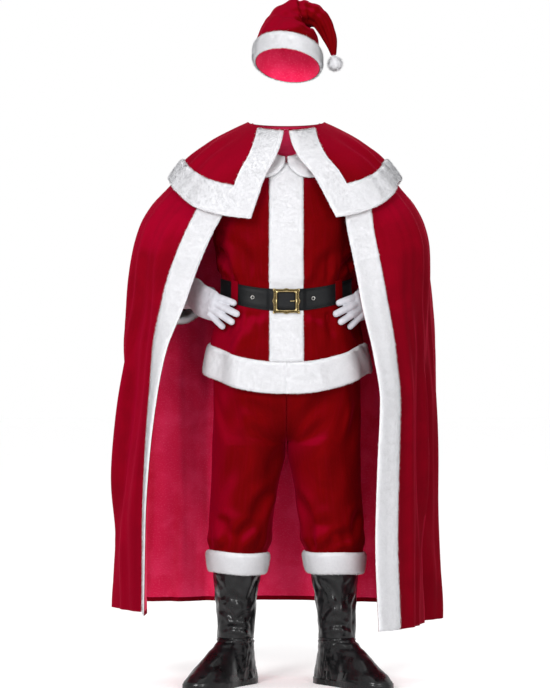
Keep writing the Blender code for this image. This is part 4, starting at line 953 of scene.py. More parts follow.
@cache
def vinyl_finish():
    """Soft PVC sheet of the boot covers: near black and glossy, crumpled into flat facets about 50 mm
    across with sharp creases between them, and a duller bloom where it has been handled."""
    made, tree, shader = new_material(
        "soft_vinyl", coat_weight=0.22, coat_roughness=0.06, specular_ior_level=0.14
    )
    place = add(tree, "TexCoord")["Object"]
    cloud = add(tree, "TexNoise", {"Vector": place, "Scale": 28, "Detail": 3, "Distortion": 0.6})["Fac"]
    tint = layered(tree, tuple(colours().vinyl), (cloud, 0.35, 0.7, 0.0, 1.0, linear("100F11")))
    bloom = add(tree, "MapRange", (cloud, 0.3, 0.75, 0.26, 0.44), **SOFT_STEP)["Result"]
    tall = add(tree, "Mapping", {"Vector": place, "Scale": (1, 1, 0.55)})["Vector"]
    wobble = add(tree, "TexNoise", {"Vector": place, "Scale": 16})["Color"]
    shifted = add(tree, "Mix", {0: 0.045, 6: tall, 7: wobble}, **IN_COLOUR)[2]
    to_edge = {"feature": "DISTANCE_TO_EDGE"}
    flats = add(tree, "TexVoronoi", {"Vector": shifted, "Scale": 17}, **to_edge)["Distance"]
    squat = add(tree, "Mapping", {"Vector": place, "Scale": (1, 1, 0.6)})["Vector"]
    peel = add(tree, "TexNoise", {"Vector": squat, "Scale": 75, "Detail": 3, "Distortion": 0.8})["Fac"]
    folds = add(tree, "Math", (peel, 0.1, flats), operation="MULTIPLY_ADD")[0]
    bump = add(tree, "Bump", {"Height": folds, "Strength": 0.22, "Distance": 0.022})["Normal"]
    plug(tree, shader, {"Base Color": tint, "Roughness": bloom, "Normal": bump})
    return made


@cache
def belt_finish():
    """Embossed imitation leather (PU on cloth): satin black with a fine pebble grain 1 mm across and paler
    rubbed ridges."""
    made, tree, shader = new_material("embossed_pu", specular_ior_level=0.1)
    at = {"Vector": add(tree, "TexCoord")["Object"]}
    grain = add(tree, "TexVoronoi", {**at, "Scale": 900}, feature="F1")["Distance"]
    cloud = add(tree, "TexNoise", {**at, "Scale": 35, "Detail": 3})["Fac"]
    tint = layered(tree, tuple(colours().belt), (cloud, 0.35, 0.7, 0.0, 1.0, linear("101113")))
    rubbed = add(tree, "MapRange", (cloud, 0.3, 0.7, 0.36, 0.5), **SOFT_STEP)["Result"]
    bump = add(tree, "Bump", {"Height": grain, "Strength": 0.35, "Distance": 0.0006})["Normal"]
    plug(tree, shader, {"Base Color": tint, "Roughness": rubbed, "Normal": bump})
    return made


@cache
def gold_finish():
    """Zinc casting with an antique gold plate: bright on its ridges, brown patina left in its grooves."""
    made, tree, shader = new_material("antique_gold_plate", metallic=1.0)
    along = add(tree, "Attribute", attribute_name="along")["Fac"]
    at = {"Vector": add(tree, "TexCoord")["Object"]}
    spots = add(tree, "TexNoise", {**at, "Scale": 160, "Detail": 3})["Fac"]
    spotted = add(tree, "MapRange", (spots, 0.3, 0.7, 0.65, 1.1), **SOFT_STEP)["Result"]
    worn = add(tree, "Math", (along, spotted), operation="MULTIPLY")[0]
    tint = layered(tree, linear("3E321A"), (worn, 0.15, 0.85, 0.0, 1.0, tuple(colours().gold)))
    dull = add(tree, "MapRange", (worn, 0.1, 0.9, 0.55, 0.24), **SOFT_STEP)["Result"]
    cast = add(tree, "TexNoise", {**at, "Scale": 500})["Fac"]
    bump = add(tree, "Bump", {"Height": cast, "Strength": 0.15, "Distance": 0.0004})["Normal"]
    plug(tree, shader, {"Base Color": tint, "Roughness": dull, "Normal": bump})
    return made


@cache
def nickel_finish():
    """Pressed nickel-plated eyelets: bright, with fine scuffs."""
    made, tree, shader = new_material("nickel_plate", base_color=linear("C9C7C2"), metallic=1.0)
    at = {"Vector": add(tree, "TexCoord")["Object"]}
    scuffs = add(tree, "TexNoise", {**at, "Scale": 300, "Detail": 3})["Fac"]
    dull = add(tree, "MapRange", (scuffs, 0.3, 0.7, 0.18, 0.38), **SOFT_STEP)["Result"]
    plug(tree, shader, {"Roughness": dull})
    return made


# ---- forms, the same as the frame's ----
def torso(angle, level):
    """The jacket's form: superellipse sections; the angle runs from the front to the wearer's left."""
    sideways = 0.75 * np.sin(angle) ** 2 + 0.2 * (1 - np.cos(angle))
    frontal = ((1 + np.cos(angle)) / 2) ** 2
    folds = read(TORSO, "rise", level) * 0.07 * np.cos(9 * angle + 6 * level)
    depth = np.where(np.cos(angle) > 0, read(TORSO, "front", level), read(TORSO, "back", level))
    x = (read(TORSO, "half_width", level) + folds) * powered(np.sin(angle), TORSO_SQUARENESS)
    y = -(depth + folds) * powered(np.cos(angle), TORSO_SQUARENESS)
    z = level + read(TORSO, "rise", level) * sideways - read(TORSO, "drop", level) * frontal
    return stacked(x, y, z)


def armhole_cut(level):
    """How far the armhole's edge stands from the side seam, as an angle."""
    half = (ARMHOLE_HIGH - ARMHOLE_LOW) / 2
    along = np.clip((level - ARMHOLE_LOW - half) / half, -1, 1)
    return ARMHOLE_DEPTH * np.sqrt(1 - along**2)


def armhole_levels(count):
    """Levels from the armhole's foot to its top, closer at both (half a cosine)."""
    return ARMHOLE_LOW + (ARMHOLE_HIGH - ARMHOLE_LOW) * (1 - np.cos(np.linspace(0, np.pi, count))) / 2


def angle_at(x, level):
    """The angle at which a level's front reaches x."""
    share = x / read(TORSO, "half_width", level)
    return np.arcsin(np.sign(share) * np.abs(share) ** (TORSO_SQUARENESS / 2))


TORSO_ARC = 0.17  # metres round the torso for each radian
TORSO_MIDDLE = (0, 0, 1.2)


def no_folds(across, down):
    """Folds of a smooth surface: none."""
    return 0 * across


def jacket_folds(angle, level):
    """Gathers above and below the belt, listed creases, and nothing under belt or centre band."""
    wrapped = (angle + np.pi) % (2 * np.pi) - np.pi
    arc = TORSO_ARC * wrapped
    from_belt = np.abs(level - BELT_LEVEL)
    free = ramp(from_belt, BELT_HALF_HEIGHT + 0.004, BELT_HALF_HEIGHT + 0.03)
    near = np.exp(-(((from_belt - 0.045) / 0.055) ** 2))
    beside_band = ramp(np.abs(arc), 0.03, 0.06)
    gathers = 0.0022 * near * waves(arc, (22, 31, 41), (0.4, 1.9, 0.8), (1.0, 0.8, 0.6))
    slow = 0.0018 * waves(arc + 0.1 * level, (6, 11), (0.3, 2.2), (1.0, 0.6))
    puff = 0.003 * np.exp(-(((level - 1.098) / 0.028) ** 2))
    neck = 1 - ramp(level, 1.4, 1.47)
    placed = 0.008 * np.tanh(280 * creases(JACKET_CREASES, arc, level, 2 * np.pi * TORSO_ARC))
    return free * (beside_band * neck * (gathers + placed + slow) + puff)


def torso_surface(angle, levels):
    """Points and normals of the jacket's form with its folds."""
    down = np.broadcast_to(np.asarray(levels, float)[:, None], angle.shape)
    return shaped(torso, jacket_folds, angle, down, centre=TORSO_MIDDLE)


def front_angle(width, edge, squareness):
    """The angle at which a section reaches the front edge's distance from the middle."""
    return np.pi - np.arcsin(np.clip(edge / width, 0, 1) ** (squareness / 2))


def mantle(rows, angle, level):
    """A cape's form: superellipse sections whose angle runs from the back, negative to the wearer's right.

    Past the side, the front runs straighter towards its edge by the share in the table.
    """
    left, behind = angle > 0, np.cos(angle) > 0
    squareness = read(rows, "squareness", level)
    width, front, edge = (
        np.where(left, read(rows, f"left_{part}", level), read(rows, f"right_{part}", level))
        for part in ("width", "front", "edge")
    )
    depth = np.where(behind, read(rows, "back", level), front)
    folds = read(rows, "folds", level) * (np.cos(8 * angle + 1.0) + 0.4 * np.cos(13 * angle - 0.6))
    x = (width + folds) * powered(np.sin(angle), squareness)
    y = (depth + folds) * powered(np.cos(angle), squareness)

    last = front_angle(width, edge, squareness)
    way = np.clip((np.abs(angle) - np.pi / 2) / (last - np.pi / 2), 0, 1.2)
    straight = read(rows, "straight", level) * np.where(behind, 0, 1)
    x_straight = np.sign(angle) * (width + folds - (width - edge) * way**1.4)
    y_straight = -front * way
    x = (1 - straight) * x + straight * x_straight
    y = (1 - straight) * y + straight * y_straight + read(rows, "centre", level)

    away = np.sqrt(np.cos(angle) ** 2 + 0.02) - np.sqrt(0.02)
    drop = np.where(behind, read(rows, "back_drop", level), read(rows, "front_drop", level))
    longer = np.where(left, read(rows, "left_drop", level) * (1 - np.clip(np.cos(angle), 0, 1)), 0)
    return stacked(x, y, level - drop * away - longer)


def mantle_reach(rows, hand, levels):
    """The angles at which each level meets its fur band and its front edge."""
    name = "left" if hand > 0 else "right"
    width, edge = read(rows, f"{name}_width", levels), read(rows, f"{name}_edge", levels)
    last = front_angle(width, edge, read(rows, "squareness", levels))
    step = 0.1 * (last - np.pi / 2)
    here, near = mantle(rows, hand * last, levels), mantle(rows, hand * (last - step), levels)
    speed = np.linalg.norm((here - near)[:, :2], axis=1) / step
    return last - BAND_WIDTH / speed, last


def cape_folds(arc, level):
    """Soft uneven folds that grow from the shoulders down, and listed long troughs."""
    grown = 1 - ramp(level, 0.55, 1.3)
    drift = arc + 0.05 * level + 0.015 * np.sin(5 * level)
    soft = waves(drift, (9, 14, 23), (0.5, 2.1, 4.0), (1.0, 0.8, 0.35))
    at_front = 1 - ramp(arc, 0.86, 0.93)
    placed = 1.5 * creases(CAPE_CREASES, arc, level)
    soft = (0.0012 + 0.0038 * grown) * soft * (0.3 + 0.7 * at_front) * (1 - ramp(level, 1.3, 1.45))
    return soft + placed * at_front


def capelet_folds(arc, level):
    """Slight waves that open towards the hem, and listed troughs from the neck."""
    open_hem = 1 - ramp(level, 1.37, 1.5)
    soft = waves(arc, (7, 12), (1.0, 2.6), (1.0, 0.7))
    placed = creases(CAPELET_CREASES, arc, level) * ramp(level, 1.36, 1.42)
    return 0.001 * open_hem * soft * (1 - ramp(arc, 0.8, 0.9)) + 1.5 * placed


def even_shares(rows, hand, level, count):
    """Shares of the last angle that cut one level's section into even lengths."""
    last = mantle_reach(rows, hand, np.array([level]))[1][0]
    share = np.linspace(0, 1, 600)
    points = mantle(rows, hand * last * share, np.full(600, level))
    way = way_along(points)
    return np.interp(np.linspace(0, way[-1], count + 1), way, share)


def mantle_surface(rows, folds, hand, shares, levels, band=False):
    """Points and normals of one half. shares run from the centre back to the front edge, or across the
    fur band where band is true."""
    to_band, last = mantle_reach(rows, hand, levels)
    low = to_band[:, None] if band else 0.0
    angle = low + (last[:, None] - low) * shares
    level = np.broadcast_to(levels[:, None], angle.shape)

    def form(across, down):
        """The mantle's form on this hand's side."""
        return mantle(rows, hand * across, down)

    def fold(across, down):
        """Its folds, placed by the share of the way to the front edge."""
        return folds(across / last[:, None], down)

    return shaped(form, fold, angle, level, centre=(0, 0.02, 0))


def bezier(way, controls):
    """A cubic curve through four controls: its points and unit tangents, by the Bernstein weights."""
    a, b, c, d = (np.array(p, float) for p in controls)
    t = np.asarray(way, float)[..., None]
    point = (1 - t) ** 3 * a + 3 * t * (1 - t) ** 2 * b + 3 * t * t * (1 - t) * c + t**3 * d
    tangent = 3 * ((1 - t) ** 2 * (b - a) + 2 * t * (1 - t) * (c - b) + t * t * (d - c))
    return point, unit(tangent)


def sleeve_rings(way, segments):
    """Rings from the armhole's own edge to round ones along the arm, on the wearer's left."""
    centre, tangent = bezier(way, SLEEVE_PATH)
    ends = np.array(SLEEVE_PATH)
    binormal = np.cross(ends[1] - ends[0], ends[3] - ends[2])
    up = unit(binormal - (tangent @ binormal)[:, None] * tangent)
    if up[0, 2] < 0:
        up = -up
    across = np.cross(tangent, up)
    turn = circle(segments)
    radius = read(SLEEVE, "radius", way)[:, None, None]
    ring = -np.cos(turn)[None, :, None] * up[:, None] + np.sin(turn)[None, :, None] * across[:, None]
    round_ring = centre[:, None] + radius * ring
    levels = armhole_levels(segments // 2 + 1)
    cut = armhole_cut(levels)
    front, back = torso(np.pi / 2 - cut, levels), torso(np.pi / 2 + cut, levels)
    if across[0, 1] > 0:
        front, back = back, front
    hole = np.concatenate((front, back[-2:0:-1]))
    start = hole[None] + 0.0012 * np.array((0.96, 0, 0.28)) + 0.02 * way[:, None, None] * tangent[0]
    share = read(SLEEVE, "own_shape", way)[:, None, None]
    return (1 - share) * (start + (centre - centre[0])[:, None]) + share * round_ring


def leg_section(angle, level, hand):
    """A leg's section; the angle runs from its inner seam by the front to its side seam."""
    x = read(LEG, "centre", level) - read(LEG, "half_width", level) * np.cos(angle)
    y = read(LEG, "depth", level) - read(LEG, "half_depth", level) * np.sin(angle)
    return stacked(hand * x, y, level)


def trouser_form(turn, level, hand):
    """Half of the trousers: hips inside the jacket's form, blended into a leg below the fork. The turn
    runs from the inner seam by the front to the side seam, and is negative over the back."""
    back, size = turn < 0, np.abs(turn)
    angle = hand * np.where(back, np.pi - size / 2, size / 2)
    hips = torso(angle, level)
    step = 1e-3
    du = torso(angle + step, level) - torso(angle - step, level)
    dv = torso(angle, level + step) - torso(angle, level - step)
    hips = hips - read(TROUSER_INSET, "inset", level)[..., None] * unit(np.cross(du, dv))
    t = np.clip((FORK - level) / (FORK - CROTCH), 0, 1)
    share = (1 - np.sqrt(np.clip(1 - t * t, 0, 1)))[..., None]
    points = (1 - share) * hips + share * leg_section(turn, level, hand)
    points[..., 0] = hand * np.maximum(hand * points[..., 0], 0.0002)
    return points


LEG_ARC = 0.09  # metres round a leg for each radian


def trouser_folds(hand, turn, level):
    """Creases that pool above the cuff, soft long ones, gathers into the cuff; none at the middle seam."""
    arc = LEG_ARC * turn
    at_middle = np.where(level > CROTCH - 0.03, ramp(np.abs(turn), 0.1, 0.55), 1.0)
    period = 2 * np.pi * LEG_ARC
    placed = 0.007 * np.tanh(300 * creases(LEG_CREASES[hand], arc, level, period))
    gathers = 0.002 * np.exp(-(((level - 0.385) / 0.03) ** 2)) * np.cos(11 * turn + 0.6 * hand)
    gathers = gathers + 0.0014 * np.exp(-(((level - 0.385) / 0.045) ** 2)) * np.cos(17 * turn + 1.3)
    slow = 0.0016 * np.cos(5 * turn + 7 * level) * ramp(level, 0.38, 0.46)
    pool = 0.003 * np.exp(-(((level - 0.392) / 0.018) ** 2))
    return at_middle * (placed + gathers + slow) + pool


def hat_rings(way, segments):
    """Rings along the crown's bent path, the lower ones tipped back and to the left."""
    knots = np.arange(len(HAT["x"]), dtype=float)

    def middle(at):
        """The path's point that many rows down its table."""
        return np.stack([smooth(at, knots, HAT[column]) for column in ("x", "y", "level")], -1)

    centre = middle(way)
    wide, deep = smooth(way, knots, HAT["half_width"]), smooth(way, knots, HAT["half_depth"])
    axis = unit(middle(way + 0.01) - middle(way - 0.01))
    tipped = np.array((np.sin(HAT_ROLL), np.sin(HAT_PITCH), np.cos(HAT_PITCH)))
    tipped /= np.linalg.norm(tipped)
    share = np.clip(1 - (way - 1) / 2.5, 0, 1)[:, None]
    axis = unit(share * tipped + (1 - share) * axis)
    ahead = np.array((0, -1.0, 0))
    front = unit(ahead - (axis @ ahead)[:, None] * axis)
    left = np.cross(front, axis)
    turn = circle(segments)
    return (
        centre[:, None]
        + wide[:, None, None] * np.sin(turn)[None, :, None] * left[:, None]
        + deep[:, None, None] * np.cos(turn)[None, :, None] * front[:, None]
    )


def sole_radius(angle):
    """The sole outline's distance from the ankle's centre, the angle from the toe."""
    way = np.linspace(SOLE["way"][0], SOLE["way"][-1], 400)
    half = read(SOLE, "half_width", way)
    outline = np.concatenate((np.arctan2(half, way), [np.pi]))
    distance = np.concatenate((np.hypot(half, way), [-SOLE["way"][0]]))
    order = np.argsort(outline)
    return np.interp(np.abs(angle), outline[order], distance[order])


# ---- pieces ----
def jacket_levels():
    """Even levels up to the armhole, its own ones along it, and even ones above."""
    cell = sizes().cell
    low = even(int(0.44 / cell), JACKET_HEM, ARMHOLE_LOW)[:-1]
    return np.concatenate((low, armhole_levels(33), even(8, ARMHOLE_HIGH, JACKET_TOP)[1:]))


def make_jacket():
    """Fronts, back, sleeves and their fur."""
    levels = jacket_levels()
    cut = armhole_cut(levels)[:, None]
    columns = int(0.32 / sizes().cell)
    panels = {}
    for name, hand in SIDES:
        angle = hand * (np.pi / 2 - cut) * even(columns)
        panels[f"jacket_front_{name}"] = torso_surface(angle, levels)
    start = np.pi / 2 + cut
    angle = start + (2 * np.pi - 2 * start) * even(int(0.56 / sizes().cell))
    panels["jacket_back"] = torso_surface(angle, levels)
    for name, (points, out) in panels.items():
        cloth(f"{name}_cloth", drawn_in(points), out)
        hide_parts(name)

    trims = make_jacket_fur()
    side = {"front_left": "jacket_front_left", "front_right": "jacket_front_right", "back": "jacket_back"}
    for name, panel in side.items():
        with_pieces = [trims[f"jacket_hem_band_{name}"]]
        if name == "front_left":
            with_pieces += [trims["jacket_centre_band"], trims["jacket_collar_left"]]
        if name == "front_right":
            with_pieces.append(trims["jacket_collar_right"])
    make_sleeves()


def make_jacket_fur():
    """Hem band in three lengths, centre band pressed flat under the belt, and two collar lobes."""
    made = {}
    hem = rounded(18, JACKET_HEM, HEM_BAND_TOP)
    for name, low, high, columns in (
        ("front_left", 0.0, np.pi / 2, 64),
        ("front_right", 0.0, -np.pi / 2, 64),
        ("back", np.pi / 2, 3 * np.pi / 2, 110),
    ):
        angle = np.broadcast_to(even(columns, low, high), (len(hem), columns + 1))
        points, out = torso_surface(angle, hem)
        key = f"jacket_hem_band_{name}"
        made[key] = fur(f"{key}_fur", points, out, rounding=(0.12 * (low == 0), 0, 0.8, 1))
        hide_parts(key)

    levels = even(110, HEM_BAND_TOP + 0.0006, CENTRE_BAND_TOP)
    edge = angle_at(CENTRE_BAND_HALF_WIDTH, levels)[:, None]
    points, out = torso_surface(edge * (2 * rounded(22) - 1), levels)
    flat = ramp(np.abs(levels - BELT_LEVEL), BELT_HALF_HEIGHT + 0.003, BELT_HALF_HEIGHT + 0.024)
    pressed = (0.28 + 0.72 * flat)[:, None]
    made["jacket_centre_band"] = fur("jacket_centre_band_fur", points, out, (1, 1, 0.2, 0.2), pressed=pressed)
    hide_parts("jacket_centre_band")

    for name, hand in SIDES:
        angle = COLLAR_START + (np.pi - COLLAR_START) * even(90)[None, :] ** 1.4
        drawn = np.clip(angle / COLLAR_CORNER, 0, 1)
        width = COLLAR_SIDE + np.where(np.cos(angle) > 0, COLLAR_FRONT, COLLAR_BACK) * np.cos(angle) ** 2
        width = np.maximum(width * np.sqrt(1 - (1 - drawn) ** 2), COLLAR_LEAST)
        level = COLLAR_LEVEL - rounded(16)[:, None] * width
        angle = np.broadcast_to(hand * angle, level.shape)
        points, out = shaped(torso, no_folds, angle, level, centre=TORSO_MIDDLE)
        near = np.clip((0.078 - np.abs(points[..., 0])) / 0.03, 0, 1) * (np.cos(angle) > 0)
        lift = COLLAR_LIFT + 0.0094 * near * near * (3 - 2 * near)
        key = f"jacket_collar_{name}"
        made[key] = fur(f"{key}_fur", points + lift[..., None] * out, out, rounding=(1, 0.2, 0.6, 1))
        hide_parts(key)
    return made


def rolled(rings, half, back):
    """Rings carried on round their last edge and some rows back inside, as fur that is folded round a
    hem: a half circle between the outer side and the same rings drawn in. Also the normals."""
    out = ring_normals(rings)
    onward = unit(rings[-1] - rings[-2])
    turn = np.linspace(0, np.pi, 9)[1:-1, None, None]
    normals = np.concatenate((out, np.cos(turn) * out[-1] + np.sin(turn) * onward, -out[::-1][:back]))
    middle = rings - half * out
    middle = np.concatenate((middle, np.repeat(middle[-1:], len(turn), 0), middle[::-1][:back]))
    return middle + half * normals, normals


def make_sleeves():
    """Sleeves with listed creases and gathers above a rolled fur cuff, the right one mirrored."""
    way = even(int(0.46 / sizes().cell))
    segments = 2 * int(0.2 / sizes().cell)
    rings = sleeve_rings(way, segments)
    arc = SLEEVE_ROUND * np.arange(segments) / segments
    above_cuff = np.exp(-(((way - 0.93) / 0.08) ** 2))[:, None]
    gathers = 0.0015 * np.cos(9 * 2 * np.pi * arc / SLEEVE_ROUND)[None, :] * above_cuff
    placed = creases(SLEEVE_CREASES, arc[None, :], way[:, None], SLEEVE_ROUND)
    depth = placed * ramp(way, 0.04, 0.14)[:, None] + gathers
    rings = rings + depth[..., None] * ring_normals(rings)
    out = ring_normals(rings)
    cuff, cuff_out = rolled(sleeve_rings(rounded(18, CUFF_START, 1.0), segments), CUFF_ROLL, 9)
    for name, hand in SIDES:
        flip = np.array((hand, 1, 1))
        sleeve = cloth(f"jacket_sleeve_{name}_cloth", rings * flip, out * flip, ring=True)
        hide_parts(f"jacket_sleeve_{name}")
        trim = fur(f"jacket_cuff_{name}_fur", cuff * flip, cuff_out * flip, ring=True, comb=(0, -0.5, -0.5))
        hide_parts(f"jacket_cuff_{name}")


def make_cape_half(kind, rows, folds, hand, name, levels, columns, hem_turn):
    """One half's cloth, its columns cut into even lengths at the middle level."""
    cell_shares = even_shares(rows, hand, float(np.median(levels)), columns)
    points, out = mantle_surface(rows, folds, hand, cell_shares, levels)
    # The cape takes the copy of the velour with painted light all over.
    finishes = ((painted_light_velour_finish if kind == "cape" else velour_finish)(), velour_back_finish())
    half = cloth(f"{kind}_{name}_cloth", points, out, finishes=finishes, turn_up=hem_turn)
    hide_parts(f"{kind}_{name}")
    return half


def make_cape():
    """Two halves that meet at the centre back, with a fur band down each front edge."""
    turned_up = CAPE_HEM + np.array((0.012, 0.006, 0.0))
    levels = np.concatenate((even(100, CAPE_TOP, turned_up[0])[:-1], turned_up))
    band_levels = even(190, CAPE_TOP - 0.004, CAPE_HEM)
    for name, hand in SIDES:
        half = make_cape_half("cape", CAPE, cape_folds, hand, name, levels, 104, 2)
        points, out = mantle_surface(CAPE, cape_folds, hand, rounded(20), band_levels, band=True)
        band = fur(f"cape_front_band_{name}_fur", points, out)
        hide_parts(f"cape_front_band_{name}")


def make_capelet():
    """Two halves with fur down the fronts and round the hem, the hem band stopping at the front band."""
    levels = even(34, CAPELET_TOP, CAPELET_HEM)
    for name, hand in SIDES:
        half = make_cape_half("capelet", CAPELET, capelet_folds, hand, name, levels, 84, 0)
        front_levels = even(60, CAPELET_TOP - 0.003, CAPELET_HEM)
        points, out = mantle_surface(CAPELET, capelet_folds, hand, rounded(20), front_levels, band=True)
        front = fur(f"capelet_front_band_{name}_fur", points, out, rounding=(0, 1, 0.4, 1))
        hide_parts(f"capelet_front_band_{name}")
        hem_levels = rounded(18, CAPELET_HEM + CAPELET_BAND, CAPELET_HEM)
        to_band, last = mantle_reach(CAPELET, hand, hem_levels)
        columns = even_shares(CAPELET, hand, CAPELET_HEM, 120)
        shares = columns * (to_band / last)[:, None]
        points, out = mantle_surface(CAPELET, capelet_folds, hand, shares, hem_levels)
        hem = fur(f"capelet_hem_band_{name}_fur", points, out, rounding=(0, 0, 0.8, 1))
        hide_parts(f"capelet_hem_band_{name}")


def make_trousers():
    """Front and back of each leg, gathered into fur cuffs."""
    cell = sizes().cell
    levels = even(int(0.72 / cell), TROUSER_HEM, TROUSER_TOP)
    columns = int(0.28 / cell)
    cuff_levels = rounded(20, TROUSER_HEM, TROUSER_CUFF_TOP)
    for name, hand in SIDES:

        def form(turn, level, hand=hand):
            """The leg's form, with a cuff that hangs a little unevenly."""
            points = trouser_form(turn, level, hand)
            uneven = CUFF_SLANT[hand] * np.cos(turn) + 0.0012 * np.cos(3 * turn + hand)
            points[..., 2] += uneven * (1 - ramp(level, 0.372, 0.43))
            return points

        def folds(turn, level, hand=hand):
            """The leg's folds, from the cuff's top up."""
            return trouser_folds(hand, turn, level) * ramp(level, TROUSER_CUFF_TOP, TROUSER_CUFF_TOP + 0.02)

        middle = np.array((hand * 0.11, 0.0, 0.5))
        turn = np.pi * np.concatenate((-even(columns)[:0:-1], even(columns)[:-1]))
        cuff, cuff_out = shaped(form, folds, turn[None, :], cuff_levels[:, None], ring=True, centre=middle)
        cuff = cuff + 0.003 * np.sin(np.pi * even(20))[:, None, None] * cuff_out
        trim = fur(f"trousers_cuff_{name}_fur", cuff, cuff_out, (1, 1), ring=True, pile=TROUSER_CUFF_PILE)
        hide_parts(f"trousers_cuff_{name}")
        for face, sign in (("front", 1), ("back", -1)):
            across = sign * np.pi * np.maximum(even(columns), 1e-6)
            points, out = shaped(form, folds, across[None, :], levels[:, None], centre=middle)
            panel = cloth(f"trousers_{face}_{name}_cloth", points, out)
            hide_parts(f"trousers_{face}_{name}")


def belt_ring(levels, columns=260):
    """Points and normals of the jacket's smooth form right round, in columns of even angles."""
    angle = even(columns, 0, 2 * np.pi)[:-1]
    down = np.asarray(levels, float)[:, None]
    across = np.broadcast_to(angle, (len(down), columns))
    return shaped(torso, no_folds, across, down, ring=True, centre=TORSO_MIDDLE)


def make_belt():
    """The strap, an embossed band with rounded edges and a sewn line near each; the buckle and its prong;
    and finishes on the pieces that stay as the frame has them: eyelets, loops and waistband."""
    upper = table(
        "rise lift",
        (0.0, 0.0033),
        (0.45, 0.0032),
        (0.845, 0.0030),
        (0.865, 0.0025),
        (0.885, 0.0030),
        (0.94, 0.0030),
        (0.975, 0.0027),
        (1.00, 0.0018),
        (1.00, 0.0006),
    )
    rise = np.concatenate((-upper["rise"][:0:-1], upper["rise"]))
    lift = np.concatenate((upper["lift"][:0:-1], upper["lift"]))
    base, out = belt_ring(BELT_LEVEL + BELT_HALF_HEIGHT * np.linspace(-1, 1, 3))
    share = (rise + 1)[:, None, None]
    low, mid, high = base
    spread = np.where(share < 1, low + (mid - low) * share, mid + (high - mid) * (share - 1))
    edge = -CENTRE_BAND_HALF_WIDTH
    over_band = ramp(-np.abs(spread[..., 0]), edge - 0.006, edge + 0.002)
    over_band = over_band * (spread[..., 1] < 0) * OVER_BAND_LIFT
    lift = lift[:, None] + LAID + over_band
    outer = spread + lift[..., None] * out[1]
    inner = spread[::-1] + (LAID + 0.0001 + over_band)[::-1][..., None] * out[1]
    points, faces = ring_body(np.concatenate((outer, inner[:: len(rise) - 1])))
    strap = make_mesh("belt_strap_pu", points, faces, (belt_finish(),))
    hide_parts("belt_strap")
    make_buckle()
    make_prong()
    eyelets = [f"belt_eyelet_{side}" for side, _ in SIDES]
    loops = [f"belt_loop_{face}_{side}" for face in ("front", "back") for side, _ in SIDES]
    for finish, names in ((nickel_finish(), eyelets), (velour_finish(), ["trousers_waistband", *loops])):
        for name in names:
            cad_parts[name].material_slots[0].material = finish


def make_buckle():
    """A cast frame: a section of two ridges and a beaded groove carried round a scrolled outline.

    Each side's reach from the middle follows a table: a boss halfway, a dip, and a pointed scroll at the
    corner; the beads are a cosine along the groove."""
    low, high = (np.array(v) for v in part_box("belt_buckle"))
    middle = (low + high) / 2 + (0, 0, NECK_HEIGHT)
    back = high[1]
    half = (high - low) / 2
    per_side = 60
    steps = 4 * per_side
    turn = circle(steps)
    share = np.linspace(-1, 1, per_side + 1)[:-1]
    reach = smooth(np.abs(share), BUCKLE["share"], BUCKLE["reach"])
    opening = 1 - 0.1 * np.clip((np.abs(share) - 0.8) / 0.2, 0, 1) ** 2
    outer, inner = (
        np.concatenate([np.stack(pair, -1) for pair in ((a, b), (-b, a), (-a, -b), (b, -a))])
        for a, b in ((reach, 0.96 * share), (opening, share))
    )
    outer, inner = outer * half[[0, 2]], inner * BUCKLE_OPENING
    section = table(
        "out depth bead shine",
        (1.00, 0.0000, 0.0, 0.2),
        (1.00, 0.0028, 0.0, 0.6),
        (0.96, 0.0046, 0.0, 1.0),
        (0.88, 0.0054, 0.3, 1.0),
        (0.78, 0.0050, 0.5, 0.6),
        (0.70, 0.0034, 0.0, 0.0),
        (0.62, 0.0034, 1.0, 0.3),
        (0.54, 0.0040, 1.0, 0.8),
        (0.46, 0.0034, 0.0, 0.0),
        (0.34, 0.0050, 0.0, 0.7),
        (0.20, 0.0058, 0.0, 1.0),
        (0.06, 0.0050, 0.0, 1.0),
        (0.00, 0.0030, 0.0, 0.6),
        (0.00, 0.0000, 0.0, 0.2),
    )
    flat = inner[None] + (outer - inner)[None] * section["out"][:, None, None]
    beads = 0.0008 * np.cos(44 * turn)[None, :] * section["bead"][:, None]
    depth = back - section["depth"][:, None] - beads * (section["depth"][:, None] > 0.001)
    points, faces = ring_body(np.stack((middle[0] + flat[..., 0], depth, middle[2] + flat[..., 1]), -1))
    shine = np.repeat(section["shine"], steps) + (beads * 500).ravel()
    gold = (gold_finish(),)
    frame_piece = make_mesh("belt_buckle_cast", points, faces, gold, along=shine, sharp=50)
    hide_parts("belt_buckle")


def make_prong():
    """A straight rod that tapers a little to a rounded tip, thicker where it is bent round the bar."""
    low, high = (np.array(v) + (0, 0, NECK_HEIGHT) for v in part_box("belt_prong"))
    middle, radius = (low + high) / 2, 0.96 * (high - low)[1:].min() / 2
    way = np.linspace(high[0] - radius, low[0] + radius, 6)
    path = np.stack((way, np.full(6, middle[1]), np.full(6, middle[2])), -1)
    wide = radius * np.array((1.0, 0.98, 0.9, 0.86, 0.82, 0.8))
    points, faces = tube_mesh(tube(path, wide, wide, (0, 0, 1)))
    shine = np.full(len(points), 0.95)
    prong = make_mesh("belt_prong_rod", points, faces, (gold_finish(),), along=shine)
    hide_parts("belt_prong")


def vinyl_tube(name, rings):
    """Rings as a thin vinyl wall, the same inside and out."""
    vinyl = (vinyl_finish(),)
    return cloth(name, rings, ring_normals(rings), vinyl, ring=True, wall=VINYL_WALL)


